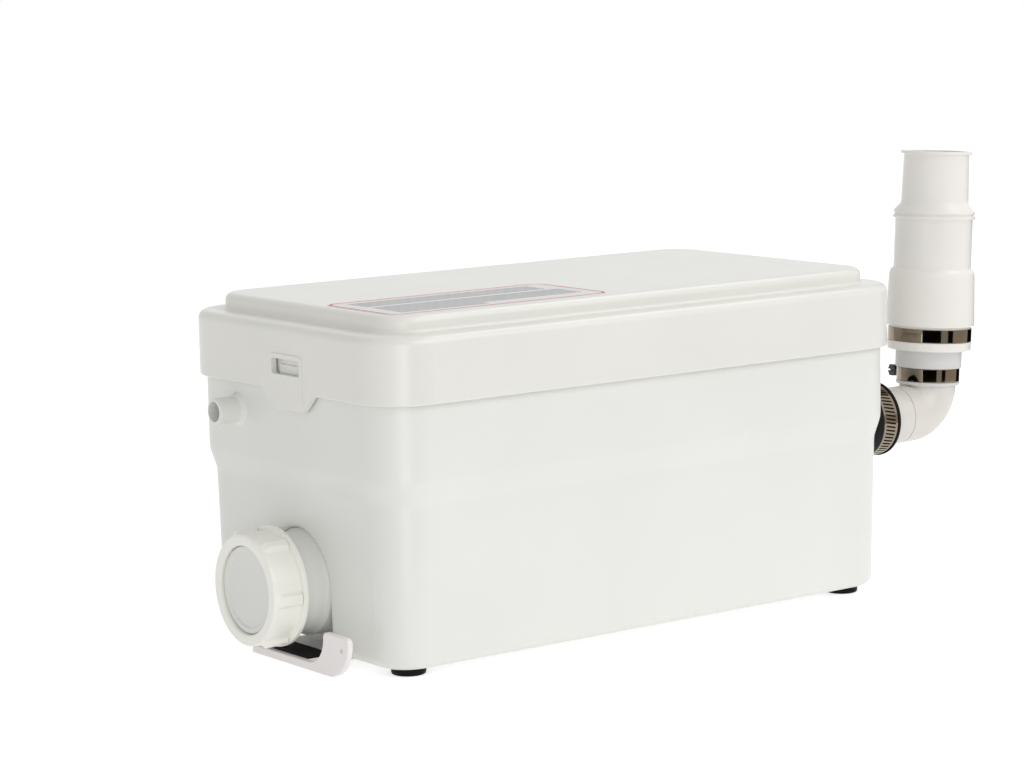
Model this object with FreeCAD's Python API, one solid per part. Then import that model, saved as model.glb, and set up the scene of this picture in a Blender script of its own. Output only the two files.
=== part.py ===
import FreeCAD
import Part
import math
import os

# Millimetres. Origin on the floor under the tank's centre, +X towards the discharge end, +Z up.
# The inlet is at the -X end, and the long front face looks along -Y.

# Tank
foot_height = 3.7
tank_wall = 2.5
tank_rim_z = 144.0
tank_rim_inset = 3.2
shoulder_high_z = 86.0
shoulder_low_z = 76.4
shoulder_inset = 6.3
shoulder_high_radius = 14.0
shoulder_low_radius = 8.0
tank_bottom_inset = 8.0
tank_bottom_radius = 5.0

# Lid with a raised plateau
lid_length = 303.0
lid_depth = 169.0
lid_corner_radius = 24.5
lid_wall = 2.2
skirt_height = 30.0
skirt_edge_radius = 4.0
skirt_lip_radius = 0.8
plateau_height = 7.5
plateau_inset = 11.5
plateau_corner_radius = 16.0
plateau_edge_radius = 3.5
plateau_root_radius = 1.4

# Clip tongues at both ends of the lid
tongue_y = -6.8
tongue_half_width = 12.6
tongue_drop = 8.3
tongue_corner_radius = 4.0
tongue_flare_half_width = 21.3
tongue_pad_height = 0.6
tongue_pad_margin = 2.2
tongue_pad_edge = 0.4
clip_slot_width = 22.6
clip_slot_height = 7.1
clip_slot_rise = 7.4
clip_slot_radius = 1.5
catch_height = 4.0
catch_half_width = 9.0
catch_gap = 0.3

# Lid gasket, a channel that hugs the rim
gasket_thickness = 4.3
gasket_lip = 0.8
gasket_lip_depth = 3.0

# Feet
foot_inset_x = 23.5
foot_inset_y = 22.5
foot_radius = 8.0
foot_edge = 1.2
foot_stem_radius = 3.0
foot_stem_length = 4.0
foot_boss_radius = 7.0
foot_boss_cap = 2.0

# Inlet stub in its alcove, nut and blanking disc
inlet_z = 33.2
pipe_bore_radius = 20.0
stub_wall = 2.3
stub_reach = 12.5
stub_inner_length = 8.0
stub_root_flare = 1.6
alcove_gap = 2.2
alcove_depth = 14.0
alcove_edge_radius = 3.0
inlet_seal_thickness = 2.4
disc_thickness = 3.6
disc_side_gap = 0.5
disc_rim_width = 2.6
disc_recess = 1.6
disc_hollow = 0.9
nut_length = 16.8
nut_lip = 2.7
nut_edge_radius = 1.2
nut_thread_clearance = 0.4
nut_wall = 2.4
nut_flange_radius = 27.2
nut_flange_thickness = 2.6
nut_rib_count = 8
nut_rib_height = 1.0
nut_rib_width = 5.0
nut_rib_setback = 2.0

# Vent spigot and its carbon filter
vent_inset = 44.5
vent_z = 107.5
vent_radius = 6.0
vent_tip_edge = 0.8
vent_bore_radius = 4.65
vent_reach = 9.5
vent_boss_radius = 8.0
vent_boss_length = 2.0
filter_boss_length = 4.0
filter_radius = 13.0
filter_length = 34.0
filter_wall = 1.6
filter_hole_count = 6

# Floor bracket below the inlet
bracket_thickness = 3.7
bracket_reach = 6.9
bracket_rear_y = 17.6
bracket_curl_depth = 2.5
bracket_heel_y = -24.0
bracket_curl_y = -44.0
bracket_curl_radius = 16.5
bracket_curl_height = 19.2
bracket_scoop_offset = 16.0
bracket_scoop_radius = 12.8
bracket_corner_radius = 2.4
bracket_edge_radius = 0.6
bracket_wall_gap = 0.5
bracket_dimple_y = -55.3
bracket_dimple_z = 13.2
bracket_dimple_radius = 1.0
bracket_dimple_depth = 1.0
pad_thickness = 1.3
pad_margin = 3.0
bracket_screw_radius = 1.7
bracket_screw_head_radius = 4.6
bracket_head_web = 1.4
bracket_head_depth = 2.4
bracket_head_recess = 0.5
bracket_screw_length = 3.6
bracket_screw_spacing = 22.0
bracket_boss_wall = 2.4
bracket_boss_height = 4.8

# Outlet stub, sleeve and elbow
outlet_inset = 39.5
outlet_z = 79.0
outlet_bore_radius = 9.0
outlet_stub_length = 12.0
elbow_radius = 14.0
elbow_wall = 2.0
elbow_gap = 1.5
elbow_bend_radius = 14.2
elbow_leg_length = 33.5
elbow_seam_setback = 7.8
elbow_seam_width = 0.6
elbow_seam_depth = 0.4
riser_reach = 50.5
riser_lean = 3.2
sleeve_length = 18.5
sleeve_radius = 17.2
sleeve_wall_gap = 0.5
swivel_clearance = 0.1

# Non-return valve in the elbow's tail
seat_inset = 2.0
seat_thickness = 3.0
seat_port_radius = 7.6
seat_ear_thickness = 1.4
seat_ear_reach = 1.6
flap_radius = 9.3
flap_thickness = 1.4
flap_gap = 0.2
flap_ear_room = 0.8
flap_pin_radius = 0.9
flap_pin_offset = 9.6
flap_pin_standoff = 2.0
flap_pin_clearance = 0.06
flap_ear_half_width = 2.8

# Flexible coupling and stepped adaptor, heights along the riser
coupling_foot_gap = 0.2
coupling_foot_radius = 15.7
coupling_foot_height = 1.7
coupling_groove_radius = 14.9
coupling_groove_height = 6.9
coupling_radius = 16.4
coupling_neck_height = 8.8
coupling_insert = 30.0
adaptor_skirt_radius = 20.7
adaptor_skirt_height = 4.4
adaptor_skirt_bevel = 0.7
adaptor_groove_radius = 20.05
adaptor_groove_height = 7.8
adaptor_bell_low_radius = 22.0
adaptor_bell_radius = 21.2
adaptor_bell_height = 24.4
adaptor_shoulder_height = 4.1
adaptor_mid_radius = 19.1
adaptor_mid_height = 24.6
adaptor_bead_radius = 20.3
adaptor_bead_height = 1.6
adaptor_bead_groove_radius = 19.4
adaptor_bead_groove_height = 1.0
adaptor_rim_radius = 20.0
adaptor_rim_height = 1.2
adaptor_cone_height = 3.7
adaptor_neck_radius = 16.6
adaptor_top_radius = 16.0
adaptor_neck_length = 24.5
adaptor_lip_radius = 17.5
adaptor_lip_height = 1.4
adaptor_edge = 0.6
adaptor_shoulder_steps = 4
adaptor_socket_radius = 14.25
adaptor_wall = 2.3

# Worm-drive clamps
band_thickness = 0.7
band_width = 6.6
sleeve_band_width = 9.0
sleeve_band_margin = 2.0
band_slot_count = 60
band_slot_width = 1.0
band_slot_length = 5.0
band_plain_half_angle = 24.0
worm_radius = 2.2
worm_clearance = 0.3
worm_length = 11.0
worm_head_radius = 3.2
worm_head_length = 3.2
worm_slot_width = 0.9
housing_wall = 0.8
housing_length = 9.0
upper_clamp_bearing = 54.0
lower_clamp_bearing = 82.0
clamp_seat_gap = 0.15

# Pump and motor
volute_offset = 25.0
volute_radius = 36.0
volute_wall = 3.0
flange_radius = 45.0
flange_thickness = 4.0
cover_bottom_z = 12.0
cover_thickness = 3.0
volute_top_z = 40.0
suction_radius = 9.0
nozzle_z = 27.6
nozzle_radius = 11.5
base_thickness = 5.0
shaft_radius = 4.0
shaft_end_gap = 2.0
shaft_clearance = 0.05
seal_radius = 9.0
bearing_radius = 11.0
bearing_length = 7.0
bearing_boss_wall = 2.5
canister_radius = 38.0
canister_wall = 2.5
canister_edge_radius = 4.0
canister_top_z = 115.0
canister_cap = 3.0
stator_bottom_z = 60.0
stator_top_z = 92.0
stator_bore_radius = 22.5
air_gap = 0.5
winding_height = 5.6
winding_wall = 9.0
impeller_radius = 29.0
impeller_gap = 3.0
impeller_hub_radius = 8.0
impeller_shroud = 2.5
vane_count = 6
vane_thickness = 2.2
vane_sweep_degrees = 60.0
impeller_nut_radius = 6.0
impeller_nut_height = 3.0
strainer_radius = 24.0
strainer_wall = 2.0
strainer_slots = 18
strainer_slot_width = 3.0
strainer_floor_gap = 0.5
pump_pad_radius = 5.0
pump_pad_circle = 30.0
pump_screw_count = 6
pump_screw_circle = 41.6
small_screw_radius = 1.5
small_screw_head_radius = 2.8
small_screw_head_height = 2.0

# Riser hose from the volute nozzle to the outlet stub
hose_wall = 2.4
hose_bend_radius = 16.0
hose_setback = 37.2
pump_setback = 74.0
hose_grip = 10.0
hose_tip_gap = 1.5
hose_wall_gap = 1.0
hose_band_width = 6.0
hose_band_inset = 1.5

# Level switch: air bell, diaphragm, cup, plunger and microswitch
bell_setback = 84.0
bell_offset = 52.0
bell_radius = 20.0
bell_wall = 2.0
bell_bottom_z = 11.0
bell_top_z = 60.0
bell_leg_count = 3
bell_leg_radius = 3.0
diaphragm_thickness = 1.6
diaphragm_port_radius = 6.0
switch_cup_height = 24.0
plunger_radius = 2.5
plunger_clearance = 0.1
plunger_foot_radius = 7.0
plunger_foot_height = 1.5
plunger_length = 10.0
plunger_travel = 1.2
plunger_gap = 0.2
guide_gap = 1.0
micro_length = 20.0
micro_width = 9.0

# Dry control box on four posts
box_setback = 98.0
box_inset = 40.5
box_length = 88.0
box_width = 40.0
box_bottom_z = 48.0
box_height = 40.0
box_wall = 2.5
box_corner_radius = 5.0
box_cover_thickness = 3.0
post_radius = 5.0
post_inset = 13.0
box_screw_bite = 6.0
cover_post_radius = 3.2
cover_screw_bite = 6.0
capacitor_radius = 9.0
capacitor_length = 50.0
capacitor_lift = 6.0
board_thickness = 1.6
board_height = 26.0
board_length = 62.0
board_side_gap = 4.0

# Cable gland in the rear wall
gland_z = 106.0
gland_thread_radius = 6.0
gland_bore_radius = 3.5
gland_core_radius = 4.2
gland_hex_radius = 9.0
gland_hex_length = 5.0
gland_dome_length = 9.0
gland_dome_step = 1.4
gland_locknut_length = 4.0
gland_thread_spare = 2.0

# Service label on the lid
label_end_margin = 16.0
label_front_margin = 17.0
label_length = 120.0
label_width = 55.5
label_thickness = 0.2
label_corner_radius = 7.0

# Worked out from the sizes above
UP = FreeCAD.Vector(0, 0, 1)
ALONG = FreeCAD.Vector(1, 0, 0)
ACROSS = FreeCAD.Vector(0, 1, 0)
half_length = lid_length / 2
half_depth = lid_depth / 2
rim_x = half_length - tank_rim_inset
rim_y = half_depth - tank_rim_inset
lid_ceiling_z = tank_rim_z + gasket_thickness
skirt_top_z = lid_ceiling_z + lid_wall
skirt_bottom_z = skirt_top_z - skirt_height
plateau_top_z = skirt_top_z + plateau_height
plateau_half_x = half_length - plateau_inset
plateau_half_y = half_depth - plateau_inset
tongue_bottom_z = skirt_bottom_z - tongue_drop
clip_slot_bottom_z = skirt_bottom_z + clip_slot_rise
label_x = label_end_margin + label_length / 2 - half_length
label_y = label_front_margin + label_width / 2 - half_depth
foot_x = half_length - foot_inset_x
foot_y = half_depth - foot_inset_y
vent_y = half_depth - vent_inset
vent_tip_x = -half_length - vent_reach
outlet_y = outlet_inset - half_depth
stub_end_x = -half_length - stub_reach
tank_bottom_z = foot_height
tank_floor_z = tank_bottom_z + tank_wall
bottom_wall_x = half_length - tank_bottom_inset
alcove_x = alcove_depth - bottom_wall_x
stub_radius = pipe_bore_radius + stub_wall
stub_inner_x = alcove_x + tank_wall + stub_inner_length
alcove_radius = stub_radius + alcove_gap
nut_inner_radius = stub_radius + nut_thread_clearance
nut_radius = nut_inner_radius + nut_wall
seal_end_x = stub_end_x - inlet_seal_thickness
disc_end_x = seal_end_x - disc_thickness
disc_radius = nut_inner_radius - disc_side_gap
nut_front_x = disc_end_x - nut_lip
nut_rear_x = nut_front_x + nut_length
bracket_outer_x = -half_length - bracket_reach
bracket_wall_x = -bottom_wall_x - bracket_wall_gap
bracket_screw_x = alcove_x + tank_wall + bracket_boss_wall + bracket_screw_radius
bracket_screw_y = (bracket_rear_y + bracket_heel_y) / 2
bracket_end_x = bracket_screw_x + bracket_screw_head_radius + bracket_head_web
outlet_wall_x = half_length - shoulder_inset
stub_tip_x = outlet_wall_x + outlet_stub_length
elbow_tail_x = stub_tip_x + elbow_gap
elbow_bore = elbow_radius - elbow_wall
elbow_turn = 90 - riser_lean
bend_tangent = elbow_bend_radius * math.tan(math.radians(elbow_turn / 2))
riser_x = half_length + riser_reach
riser_foot = FreeCAD.Vector(riser_x, outlet_y, outlet_z)
bend_start_x = riser_x - bend_tangent
bend_end_z = outlet_z + bend_tangent
elbow_seam_x = bend_start_x - elbow_seam_setback
sleeve_start_x = rim_x + sleeve_wall_gap
sleeve_end_x = sleeve_start_x + sleeve_length
seat_start_x = elbow_tail_x + seat_inset
seat_end_x = seat_start_x + seat_thickness
flap_pin_x = seat_end_x + flap_pin_standoff
flap_pin_length = 2 * (flap_ear_half_width + flap_gap + seat_ear_thickness)
flap_pin_start = FreeCAD.Vector(flap_pin_x, outlet_y - flap_pin_length / 2, outlet_z + flap_pin_offset)
coupling_bottom_z = bend_end_z + coupling_foot_gap
sleeve_clamp_x = sleeve_end_x - sleeve_band_margin - sleeve_band_width / 2
coupling_groove_z = coupling_bottom_z + coupling_foot_height
lower_clamp_z = coupling_groove_z + clamp_seat_gap + band_width / 2
adaptor_skirt_z = coupling_groove_z + coupling_groove_height + coupling_neck_height
coupling_top_z = adaptor_skirt_z + coupling_insert
adaptor_groove_z = adaptor_skirt_z + adaptor_skirt_height
upper_clamp_z = adaptor_groove_z + clamp_seat_gap + band_width / 2
adaptor_bell_z = adaptor_groove_z + adaptor_groove_height
adaptor_shoulder_z = adaptor_bell_z + adaptor_bell_height
adaptor_mid_z = adaptor_shoulder_z + adaptor_shoulder_height
adaptor_bead_z = adaptor_mid_z + adaptor_mid_height
adaptor_rim_z = adaptor_bead_z + adaptor_bead_height + adaptor_bead_groove_height
adaptor_cone_z = adaptor_rim_z + adaptor_rim_height
adaptor_neck_z = adaptor_cone_z + adaptor_cone_height
adaptor_lip_z = adaptor_neck_z + adaptor_neck_length
adaptor_top_z = adaptor_lip_z + adaptor_lip_height
hose_x = outlet_wall_x - hose_setback
pump_x = hose_x - pump_setback
pump_y = outlet_y + volute_offset
bell_x = pump_x - bell_setback
bell_y = pump_y + bell_offset
box_x = pump_x - box_setback
box_y = box_inset - half_depth
gland_x = box_x
cover_top_z = cover_bottom_z + cover_thickness
impeller_low_z = cover_top_z + impeller_gap
impeller_top_z = volute_top_z - flange_thickness - impeller_gap
shaft_bottom_z = impeller_low_z - impeller_nut_height
base_top_z = volute_top_z + base_thickness
upper_bearing_z = canister_top_z - canister_cap - shaft_end_gap - bearing_length
shaft_top_z = upper_bearing_z + bearing_length
nozzle_end_x = hose_x - hose_bend_radius
hose_start_x = nozzle_end_x - hose_grip
outlet_inner_x = hose_x + hose_bend_radius + hose_tip_gap
hose_end_x = outlet_wall_x - tank_wall - hose_wall_gap
hose_radius = nozzle_radius + hose_wall
plunger_z = bell_top_z + diaphragm_thickness + plunger_gap
guide_z = plunger_z + plunger_foot_height + plunger_travel + guide_gap
box_top_z = box_bottom_z + box_height
capacitor_y = box_y - box_width / 2 + box_wall + capacitor_radius + board_side_gap
capacitor_z = box_bottom_z + box_wall + capacitor_lift + capacitor_radius
board_y = box_y + box_width / 2 - box_wall - board_side_gap - board_thickness
gland_hole_reach = 2 * tank_wall


def vec(x, y, z):
    return FreeCAD.Vector(x, y, z)


def group(solids):
    return Part.makeCompound(solids)


def rounded_wire(half_x, half_y, radius, z, centre_x=0.0, centre_y=0.0):
    arcs = []
    for sign_x, sign_y, start in ((1, 1, 0), (-1, 1, 90), (-1, -1, 180), (1, -1, 270)):
        middle_x = centre_x + sign_x * (half_x - radius)
        middle_y = centre_y + sign_y * (half_y - radius)
        points = []
        for angle in (start, start + 45, start + 90):
            turn = math.radians(angle)
            points.append(vec(middle_x + radius * math.cos(turn), middle_y + radius * math.sin(turn), z))
        arcs.append(points)
    edges = []
    for index, points in enumerate(arcs):
        following = arcs[(index + 1) % len(arcs)]
        edges.append(Part.Arc(points[0], points[1], points[2]).toShape())
        edges.append(Part.LineSegment(points[2], following[0]).toShape())
    return Part.Wire(edges)


def rounded_block(half_x, half_y, radius, z_low, z_high, centre_x=0.0, centre_y=0.0):
    face = Part.Face(rounded_wire(half_x, half_y, radius, z_low, centre_x, centre_y))
    return face.extrude(vec(0, 0, z_high - z_low))


def edges_at_z(shape, z):
    return [edge for edge in shape.Edges if all(abs(vertex.Point.z - z) < 0.001 for vertex in edge.Vertexes)]


def tube(outer, inner, start, direction, length):
    body = Part.makeCylinder(outer, length, start, direction)
    return body.cut(Part.makeCylinder(inner, length, start, direction))


def slab(low_x, high_x, low_y, high_y, low_z, high_z):
    return Part.makeBox(high_x - low_x, high_y - low_y, high_z - low_z, vec(low_x, low_y, low_z))


def hexagon(radius, length, start, direction):
    corners = []
    for index in range(7):
        turn = math.radians(60 * index)
        corners.append(vec(radius * math.cos(turn), radius * math.sin(turn), 0))
    prism = Part.Face(Part.makePolygon(corners)).extrude(vec(0, 0, length))
    prism.Placement = FreeCAD.Placement(start, FreeCAD.Rotation(UP, direction))
    return prism


def revolved(points, centre_x, centre_y):
    outline = [vec(centre_x + radius, centre_y, z) for radius, z in points]
    outline.append(outline[0])
    face = Part.Face(Part.makePolygon(outline))
    return face.revolve(vec(centre_x, centre_y, 0), UP, 360)


def bend(radius, start, heading, pivot, pivot_axis, turn):
    face = Part.Face(Part.Wire(Part.makeCircle(radius, start, heading)))
    return face.revolve(pivot, pivot_axis, turn)


# Screws

def pan_screw(head_radius, head_height, radius, length, seat, heading):
    head = Part.makeCylinder(head_radius, head_height, seat - heading * head_height, heading)
    shank = Part.makeCylinder(radius, length, seat, heading)
    slot = head_height / 2
    cross = Part.makeCylinder(radius / 2, slot, seat - heading * head_height, heading)
    return head.fuse(shank).cut(cross)


def small_screw(seat, length, heading):
    return pan_screw(small_screw_head_radius, small_screw_head_height, small_screw_radius, length, seat, heading)


# Tank

def corner_radius(inset):
    return lid_corner_radius - inset


def tank_block(shrink, bottom_z):
    sections = [
        (bottom_z, tank_bottom_inset),
        (shoulder_low_z, shoulder_inset),
        (shoulder_high_z, tank_rim_inset),
        (tank_rim_z, tank_rim_inset),
    ]
    wires = []
    for z, inset in sections:
        reach_x = half_length - inset - shrink
        reach_y = half_depth - inset - shrink
        wires.append(rounded_wire(reach_x, reach_y, corner_radius(inset + shrink), z))
    return Part.makeLoft(wires, True, True)


def alcove(grow):
    radius = alcove_radius + grow
    length = alcove_x + grow + half_length
    start = vec(-half_length, 0, inlet_z)
    arch = Part.makeCylinder(radius, length, start, ALONG)
    leg = slab(-half_length, alcove_x + grow, -radius, radius, 0, inlet_z)
    return arch.fuse(leg)


def foot_places():
    return [(x, y) for x in (-foot_x, foot_x) for y in (-foot_y, foot_y)]


def post_places():
    reach_x = box_length / 2 - post_inset
    reach_y = box_width / 2 - post_inset
    return [(box_x + x, box_y + y) for x in (-reach_x, reach_x) for y in (-reach_y, reach_y)]


def bracket_screw_places():
    half = bracket_screw_spacing / 2
    return [(bracket_screw_x, bracket_screw_y - half), (bracket_screw_x, bracket_screw_y + half)]


def alcove_rim(shape):
    rim = []
    for edge in shape.Edges:
        box = edge.BoundBox
        on_wall = box.XMax < -bottom_wall_x + tank_bottom_radius + 0.01
        beside = max(-box.YMin, box.YMax) < alcove_radius + 0.01
        if on_wall and beside:
            rim.append(edge)
    return rim


def tank_outside():
    outer = tank_block(0, tank_bottom_z)
    outer = outer.makeFillet(shoulder_high_radius, edges_at_z(outer, shoulder_high_z))
    outer = outer.makeFillet(shoulder_low_radius, edges_at_z(outer, shoulder_low_z))
    outer = outer.makeFillet(tank_bottom_radius, edges_at_z(outer, tank_bottom_z))
    outer = outer.cut(alcove(0))
    return outer.makeFillet(alcove_edge_radius, alcove_rim(outer))


def vent_tube(start):
    body = Part.makeCylinder(vent_radius, -rim_x + tank_wall - vent_tip_x, start, ALONG)
    tip = [edge for edge in body.Edges if edge.BoundBox.XMax < vent_tip_x + 0.001]
    return body.makeFillet(vent_tip_edge, tip)


def tank_shell():
    outer = tank_outside()
    shell = outer.cut(tank_block(tank_wall, tank_floor_z).cut(alcove(tank_wall)))
    outlet_at = vec(outlet_inner_x, outlet_y, outlet_z)
    wall_at = vec(outlet_wall_x - tank_wall, outlet_y, outlet_z)
    vent_at = vec(vent_tip_x, vent_y, vent_z)
    vent_boss_at = vec(-rim_x - vent_boss_length, vent_y, vent_z)
    filter_boss_at = vec(-rim_x, vent_y, vent_z)
    stub_root_at = vec(alcove_x - stub_root_flare, 0, inlet_z)
    added = [
        Part.makeCone(stub_radius, stub_radius + stub_root_flare, stub_root_flare, stub_root_at, ALONG),
        Part.makeCylinder(stub_radius, stub_inner_x - stub_end_x, vec(stub_end_x, 0, inlet_z), ALONG),
        vent_tube(vent_at),
        Part.makeCone(vent_radius, vent_boss_radius, vent_boss_length, vent_boss_at, ALONG),
        Part.makeCylinder(filter_radius - filter_wall, tank_wall + filter_boss_length, filter_boss_at, ALONG),
        Part.makeCylinder(nozzle_radius, outlet_wall_x - outlet_inner_x, outlet_at, ALONG),
        Part.makeCylinder(elbow_radius, stub_tip_x - outlet_wall_x + tank_wall, wall_at, ALONG),
    ]
    for x, y in foot_places():
        height = foot_stem_length + foot_boss_cap - tank_wall / 2
        added.append(Part.makeCylinder(foot_boss_radius, height, vec(x, y, tank_bottom_z + tank_wall / 2), UP))
    for x, y in post_places():
        added.append(Part.makeCylinder(post_radius, box_bottom_z - tank_bottom_z - tank_wall / 2,
                                       vec(x, y, tank_bottom_z + tank_wall / 2), UP))
    for x, y in bracket_screw_places():
        radius = bracket_screw_radius + bracket_boss_wall
        added.append(Part.makeCylinder(radius, bracket_boss_height, vec(x, y, tank_bottom_z), UP))
    for end in (-1, 1):
        inner = end * (rim_x - tank_wall / 2)
        outer_face = end * (half_length - lid_wall - catch_gap)
        added.append(slab(min(inner, outer_face), max(inner, outer_face), tongue_y - catch_half_width,
                          tongue_y + catch_half_width, clip_slot_bottom_z, clip_slot_bottom_z + catch_height))
    shell = shell.fuse(added)
    gland_at = vec(gland_x, rim_y - gland_hole_reach, gland_z)
    removed = [
        Part.makeCylinder(pipe_bore_radius, stub_inner_x - stub_end_x, vec(stub_end_x, 0, inlet_z), ALONG),
        Part.makeCylinder(vent_bore_radius, half_length / 2, vent_at, ALONG),
        Part.makeCylinder(outlet_bore_radius, stub_tip_x - outlet_inner_x, outlet_at, ALONG),
        Part.makeCylinder(gland_thread_radius, 2 * gland_hole_reach, gland_at, ACROSS),
    ]
    for x, y in foot_places():
        removed.append(Part.makeCylinder(foot_stem_radius, foot_stem_length, vec(x, y, tank_bottom_z), UP))
    for x, y in bracket_screw_places():
        removed.append(Part.makeCylinder(bracket_screw_radius, bracket_screw_length, vec(x, y, tank_bottom_z), UP))
    for x, y in post_places():
        top = vec(x, y, box_bottom_z - box_screw_bite)
        removed.append(Part.makeCylinder(small_screw_radius, box_screw_bite, top, UP))
    return shell.cut(group(removed))


def lid_gasket():
    radius = corner_radius(tank_rim_inset)
    outer = rounded_block(rim_x + gasket_lip, rim_y + gasket_lip, radius + gasket_lip,
                          tank_rim_z - gasket_lip_depth, lid_ceiling_z)
    inner = rounded_block(rim_x - tank_wall - gasket_lip, rim_y - tank_wall - gasket_lip,
                          radius - tank_wall - gasket_lip, tank_rim_z - gasket_lip_depth, lid_ceiling_z)
    rim = rounded_block(rim_x, rim_y, radius, tank_rim_z - gasket_lip_depth, tank_rim_z)
    rim_hole = rounded_block(rim_x - tank_wall, rim_y - tank_wall, radius - tank_wall,
                             tank_rim_z - gasket_lip_depth, tank_rim_z)
    return outer.cut(inner).cut(rim.cut(rim_hole))


def rubber_feet():
    feet = []
    for x, y in foot_places():
        pad = Part.makeCylinder(foot_radius, foot_height, vec(x, y, 0), UP)
        pad = pad.makeFillet(foot_edge, edges_at_z(pad, 0))
        feet.append(pad.fuse(Part.makeCylinder(foot_stem_radius, foot_stem_length, vec(x, y, foot_height), UP)))
    return group(feet)


# Lid

def edges_along_x(shape, z):
    found = []
    for edge in shape.Edges:
        box = edge.BoundBox
        if box.YLength < 0.001 and box.ZLength < 0.001 and abs(box.ZMin - z) < 0.001:
            found.append(edge)
    return found


def tongue(end):
    low = tongue_bottom_z
    half = tongue_half_width
    flare = tongue_flare_half_width
    root_z = skirt_bottom_z + tongue_corner_radius
    points = [
        vec(0, -half, low),
        vec(0, half, low),
        vec(0, flare, skirt_bottom_z),
        vec(0, flare, root_z),
        vec(0, -flare, root_z),
        vec(0, -flare, skirt_bottom_z),
    ]
    points.append(points[0])
    plate = Part.Face(Part.makePolygon(points)).extrude(vec(lid_wall, 0, 0))
    plate = plate.makeFillet(tongue_corner_radius, edges_along_x(plate, low))
    pad_top_z = clip_slot_bottom_z + clip_slot_height + tongue_pad_margin
    pad = slab(-tongue_pad_height, lid_wall / 2, -half, half, low, pad_top_z)
    pad = pad.makeFillet(tongue_corner_radius, edges_along_x(pad, low))
    pad = pad.makeFillet(tongue_pad_margin, edges_along_x(pad, pad_top_z))
    front = [edge for edge in pad.Edges if edge.BoundBox.XMax < 0.001 - tongue_pad_height]
    pad = pad.makeFillet(tongue_pad_edge, front)
    shape = plate.fuse(pad)
    shape.translate(vec(-half_length, tongue_y, 0))
    if end > 0:
        shape = shape.mirror(vec(0, 0, 0), ALONG)
    return shape


def lid_shell():
    skirt = rounded_block(half_length, half_depth, lid_corner_radius, skirt_bottom_z, skirt_top_z)
    skirt = skirt.makeFillet(skirt_edge_radius, edges_at_z(skirt, skirt_top_z))
    skirt = skirt.makeFillet(skirt_lip_radius, edges_at_z(skirt, skirt_bottom_z))
    plateau = rounded_block(plateau_half_x, plateau_half_y, plateau_corner_radius, lid_ceiling_z, plateau_top_z)
    plateau = plateau.makeFillet(plateau_edge_radius, edges_at_z(plateau, plateau_top_z))
    body = skirt.fuse(plateau)
    root = [edge for edge in edges_at_z(body, skirt_top_z) if edge.Length > 2 * plateau_root_radius
            and abs(edge.CenterOfMass.x) < plateau_half_x + 0.01
            and abs(edge.CenterOfMass.y) < plateau_half_y + 0.01]
    body = body.makeFillet(plateau_root_radius, root)
    inside = rounded_block(half_length - lid_wall, half_depth - lid_wall, lid_corner_radius - lid_wall,
                           skirt_bottom_z, lid_ceiling_z)
    pocket = rounded_block(plateau_half_x - lid_wall, plateau_half_y - lid_wall,
                           plateau_corner_radius - lid_wall, lid_ceiling_z, plateau_top_z - lid_wall)
    body = body.cut(inside.fuse(pocket))
    body = body.fuse([tongue(-1), tongue(1)])
    half_slot = clip_slot_width / 2
    slot = slab(-half_length - lid_wall, half_length + lid_wall, tongue_y - half_slot, tongue_y + half_slot,
                clip_slot_bottom_z, clip_slot_bottom_z + clip_slot_height)
    slot = slot.makeFillet(clip_slot_radius, [edge for edge in slot.Edges if edge.BoundBox.XLength > lid_length])
    return body.cut(slot)


def service_label():
    return rounded_block(label_length / 2, label_width / 2, label_corner_radius, plateau_top_z,
                         plateau_top_z + label_thickness, label_x, label_y)


# Inlet

def inlet_seal():
    return tube(stub_radius, pipe_bore_radius, vec(seal_end_x, 0, inlet_z), ALONG, inlet_seal_thickness)


def blanking_disc():
    start = vec(disc_end_x, 0, inlet_z)
    disc = Part.makeCylinder(disc_radius, disc_thickness, start, ALONG)
    face_radius = pipe_bore_radius - disc_side_gap
    rim = Part.makeCylinder(face_radius, nut_lip - disc_recess, start - ALONG * (nut_lip - disc_recess), ALONG)
    hollow_at = start - ALONG * (nut_lip - disc_recess)
    hollow = Part.makeCylinder(face_radius - disc_rim_width, disc_hollow, hollow_at, ALONG)
    return disc.fuse(rim).cut(hollow)


def inlet_nut():
    front = vec(nut_front_x, 0, inlet_z)
    body = Part.makeCylinder(nut_radius, nut_rear_x - nut_front_x, front, ALONG)
    front_rim = [edge for edge in body.Edges if abs(edge.CenterOfMass.x - nut_front_x) < 0.001]
    body = body.makeFillet(nut_edge_radius, front_rim)
    flange_at = vec(nut_rear_x - nut_flange_thickness, 0, inlet_z)
    parts = [Part.makeCylinder(nut_flange_radius, nut_flange_thickness, flange_at, ALONG)]
    rib_length = nut_rear_x - nut_front_x - nut_rib_setback
    for index in range(nut_rib_count):
        rib = slab(nut_front_x + nut_rib_setback, nut_front_x + nut_rib_setback + rib_length,
                   -nut_rib_width / 2, nut_rib_width / 2, inlet_z, inlet_z + nut_radius + nut_rib_height)
        rib.rotate(vec(0, 0, inlet_z), ALONG, (index + 0.5) * 360 / nut_rib_count)
        parts.append(rib)
    body = body.fuse(parts)
    bore = Part.makeCylinder(nut_inner_radius, nut_rear_x - disc_end_x, vec(disc_end_x, 0, inlet_z), ALONG)
    mouth = Part.makeCylinder(pipe_bore_radius, nut_lip, front, ALONG)
    return body.cut(bore.fuse(mouth))


# Vent filter

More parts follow.
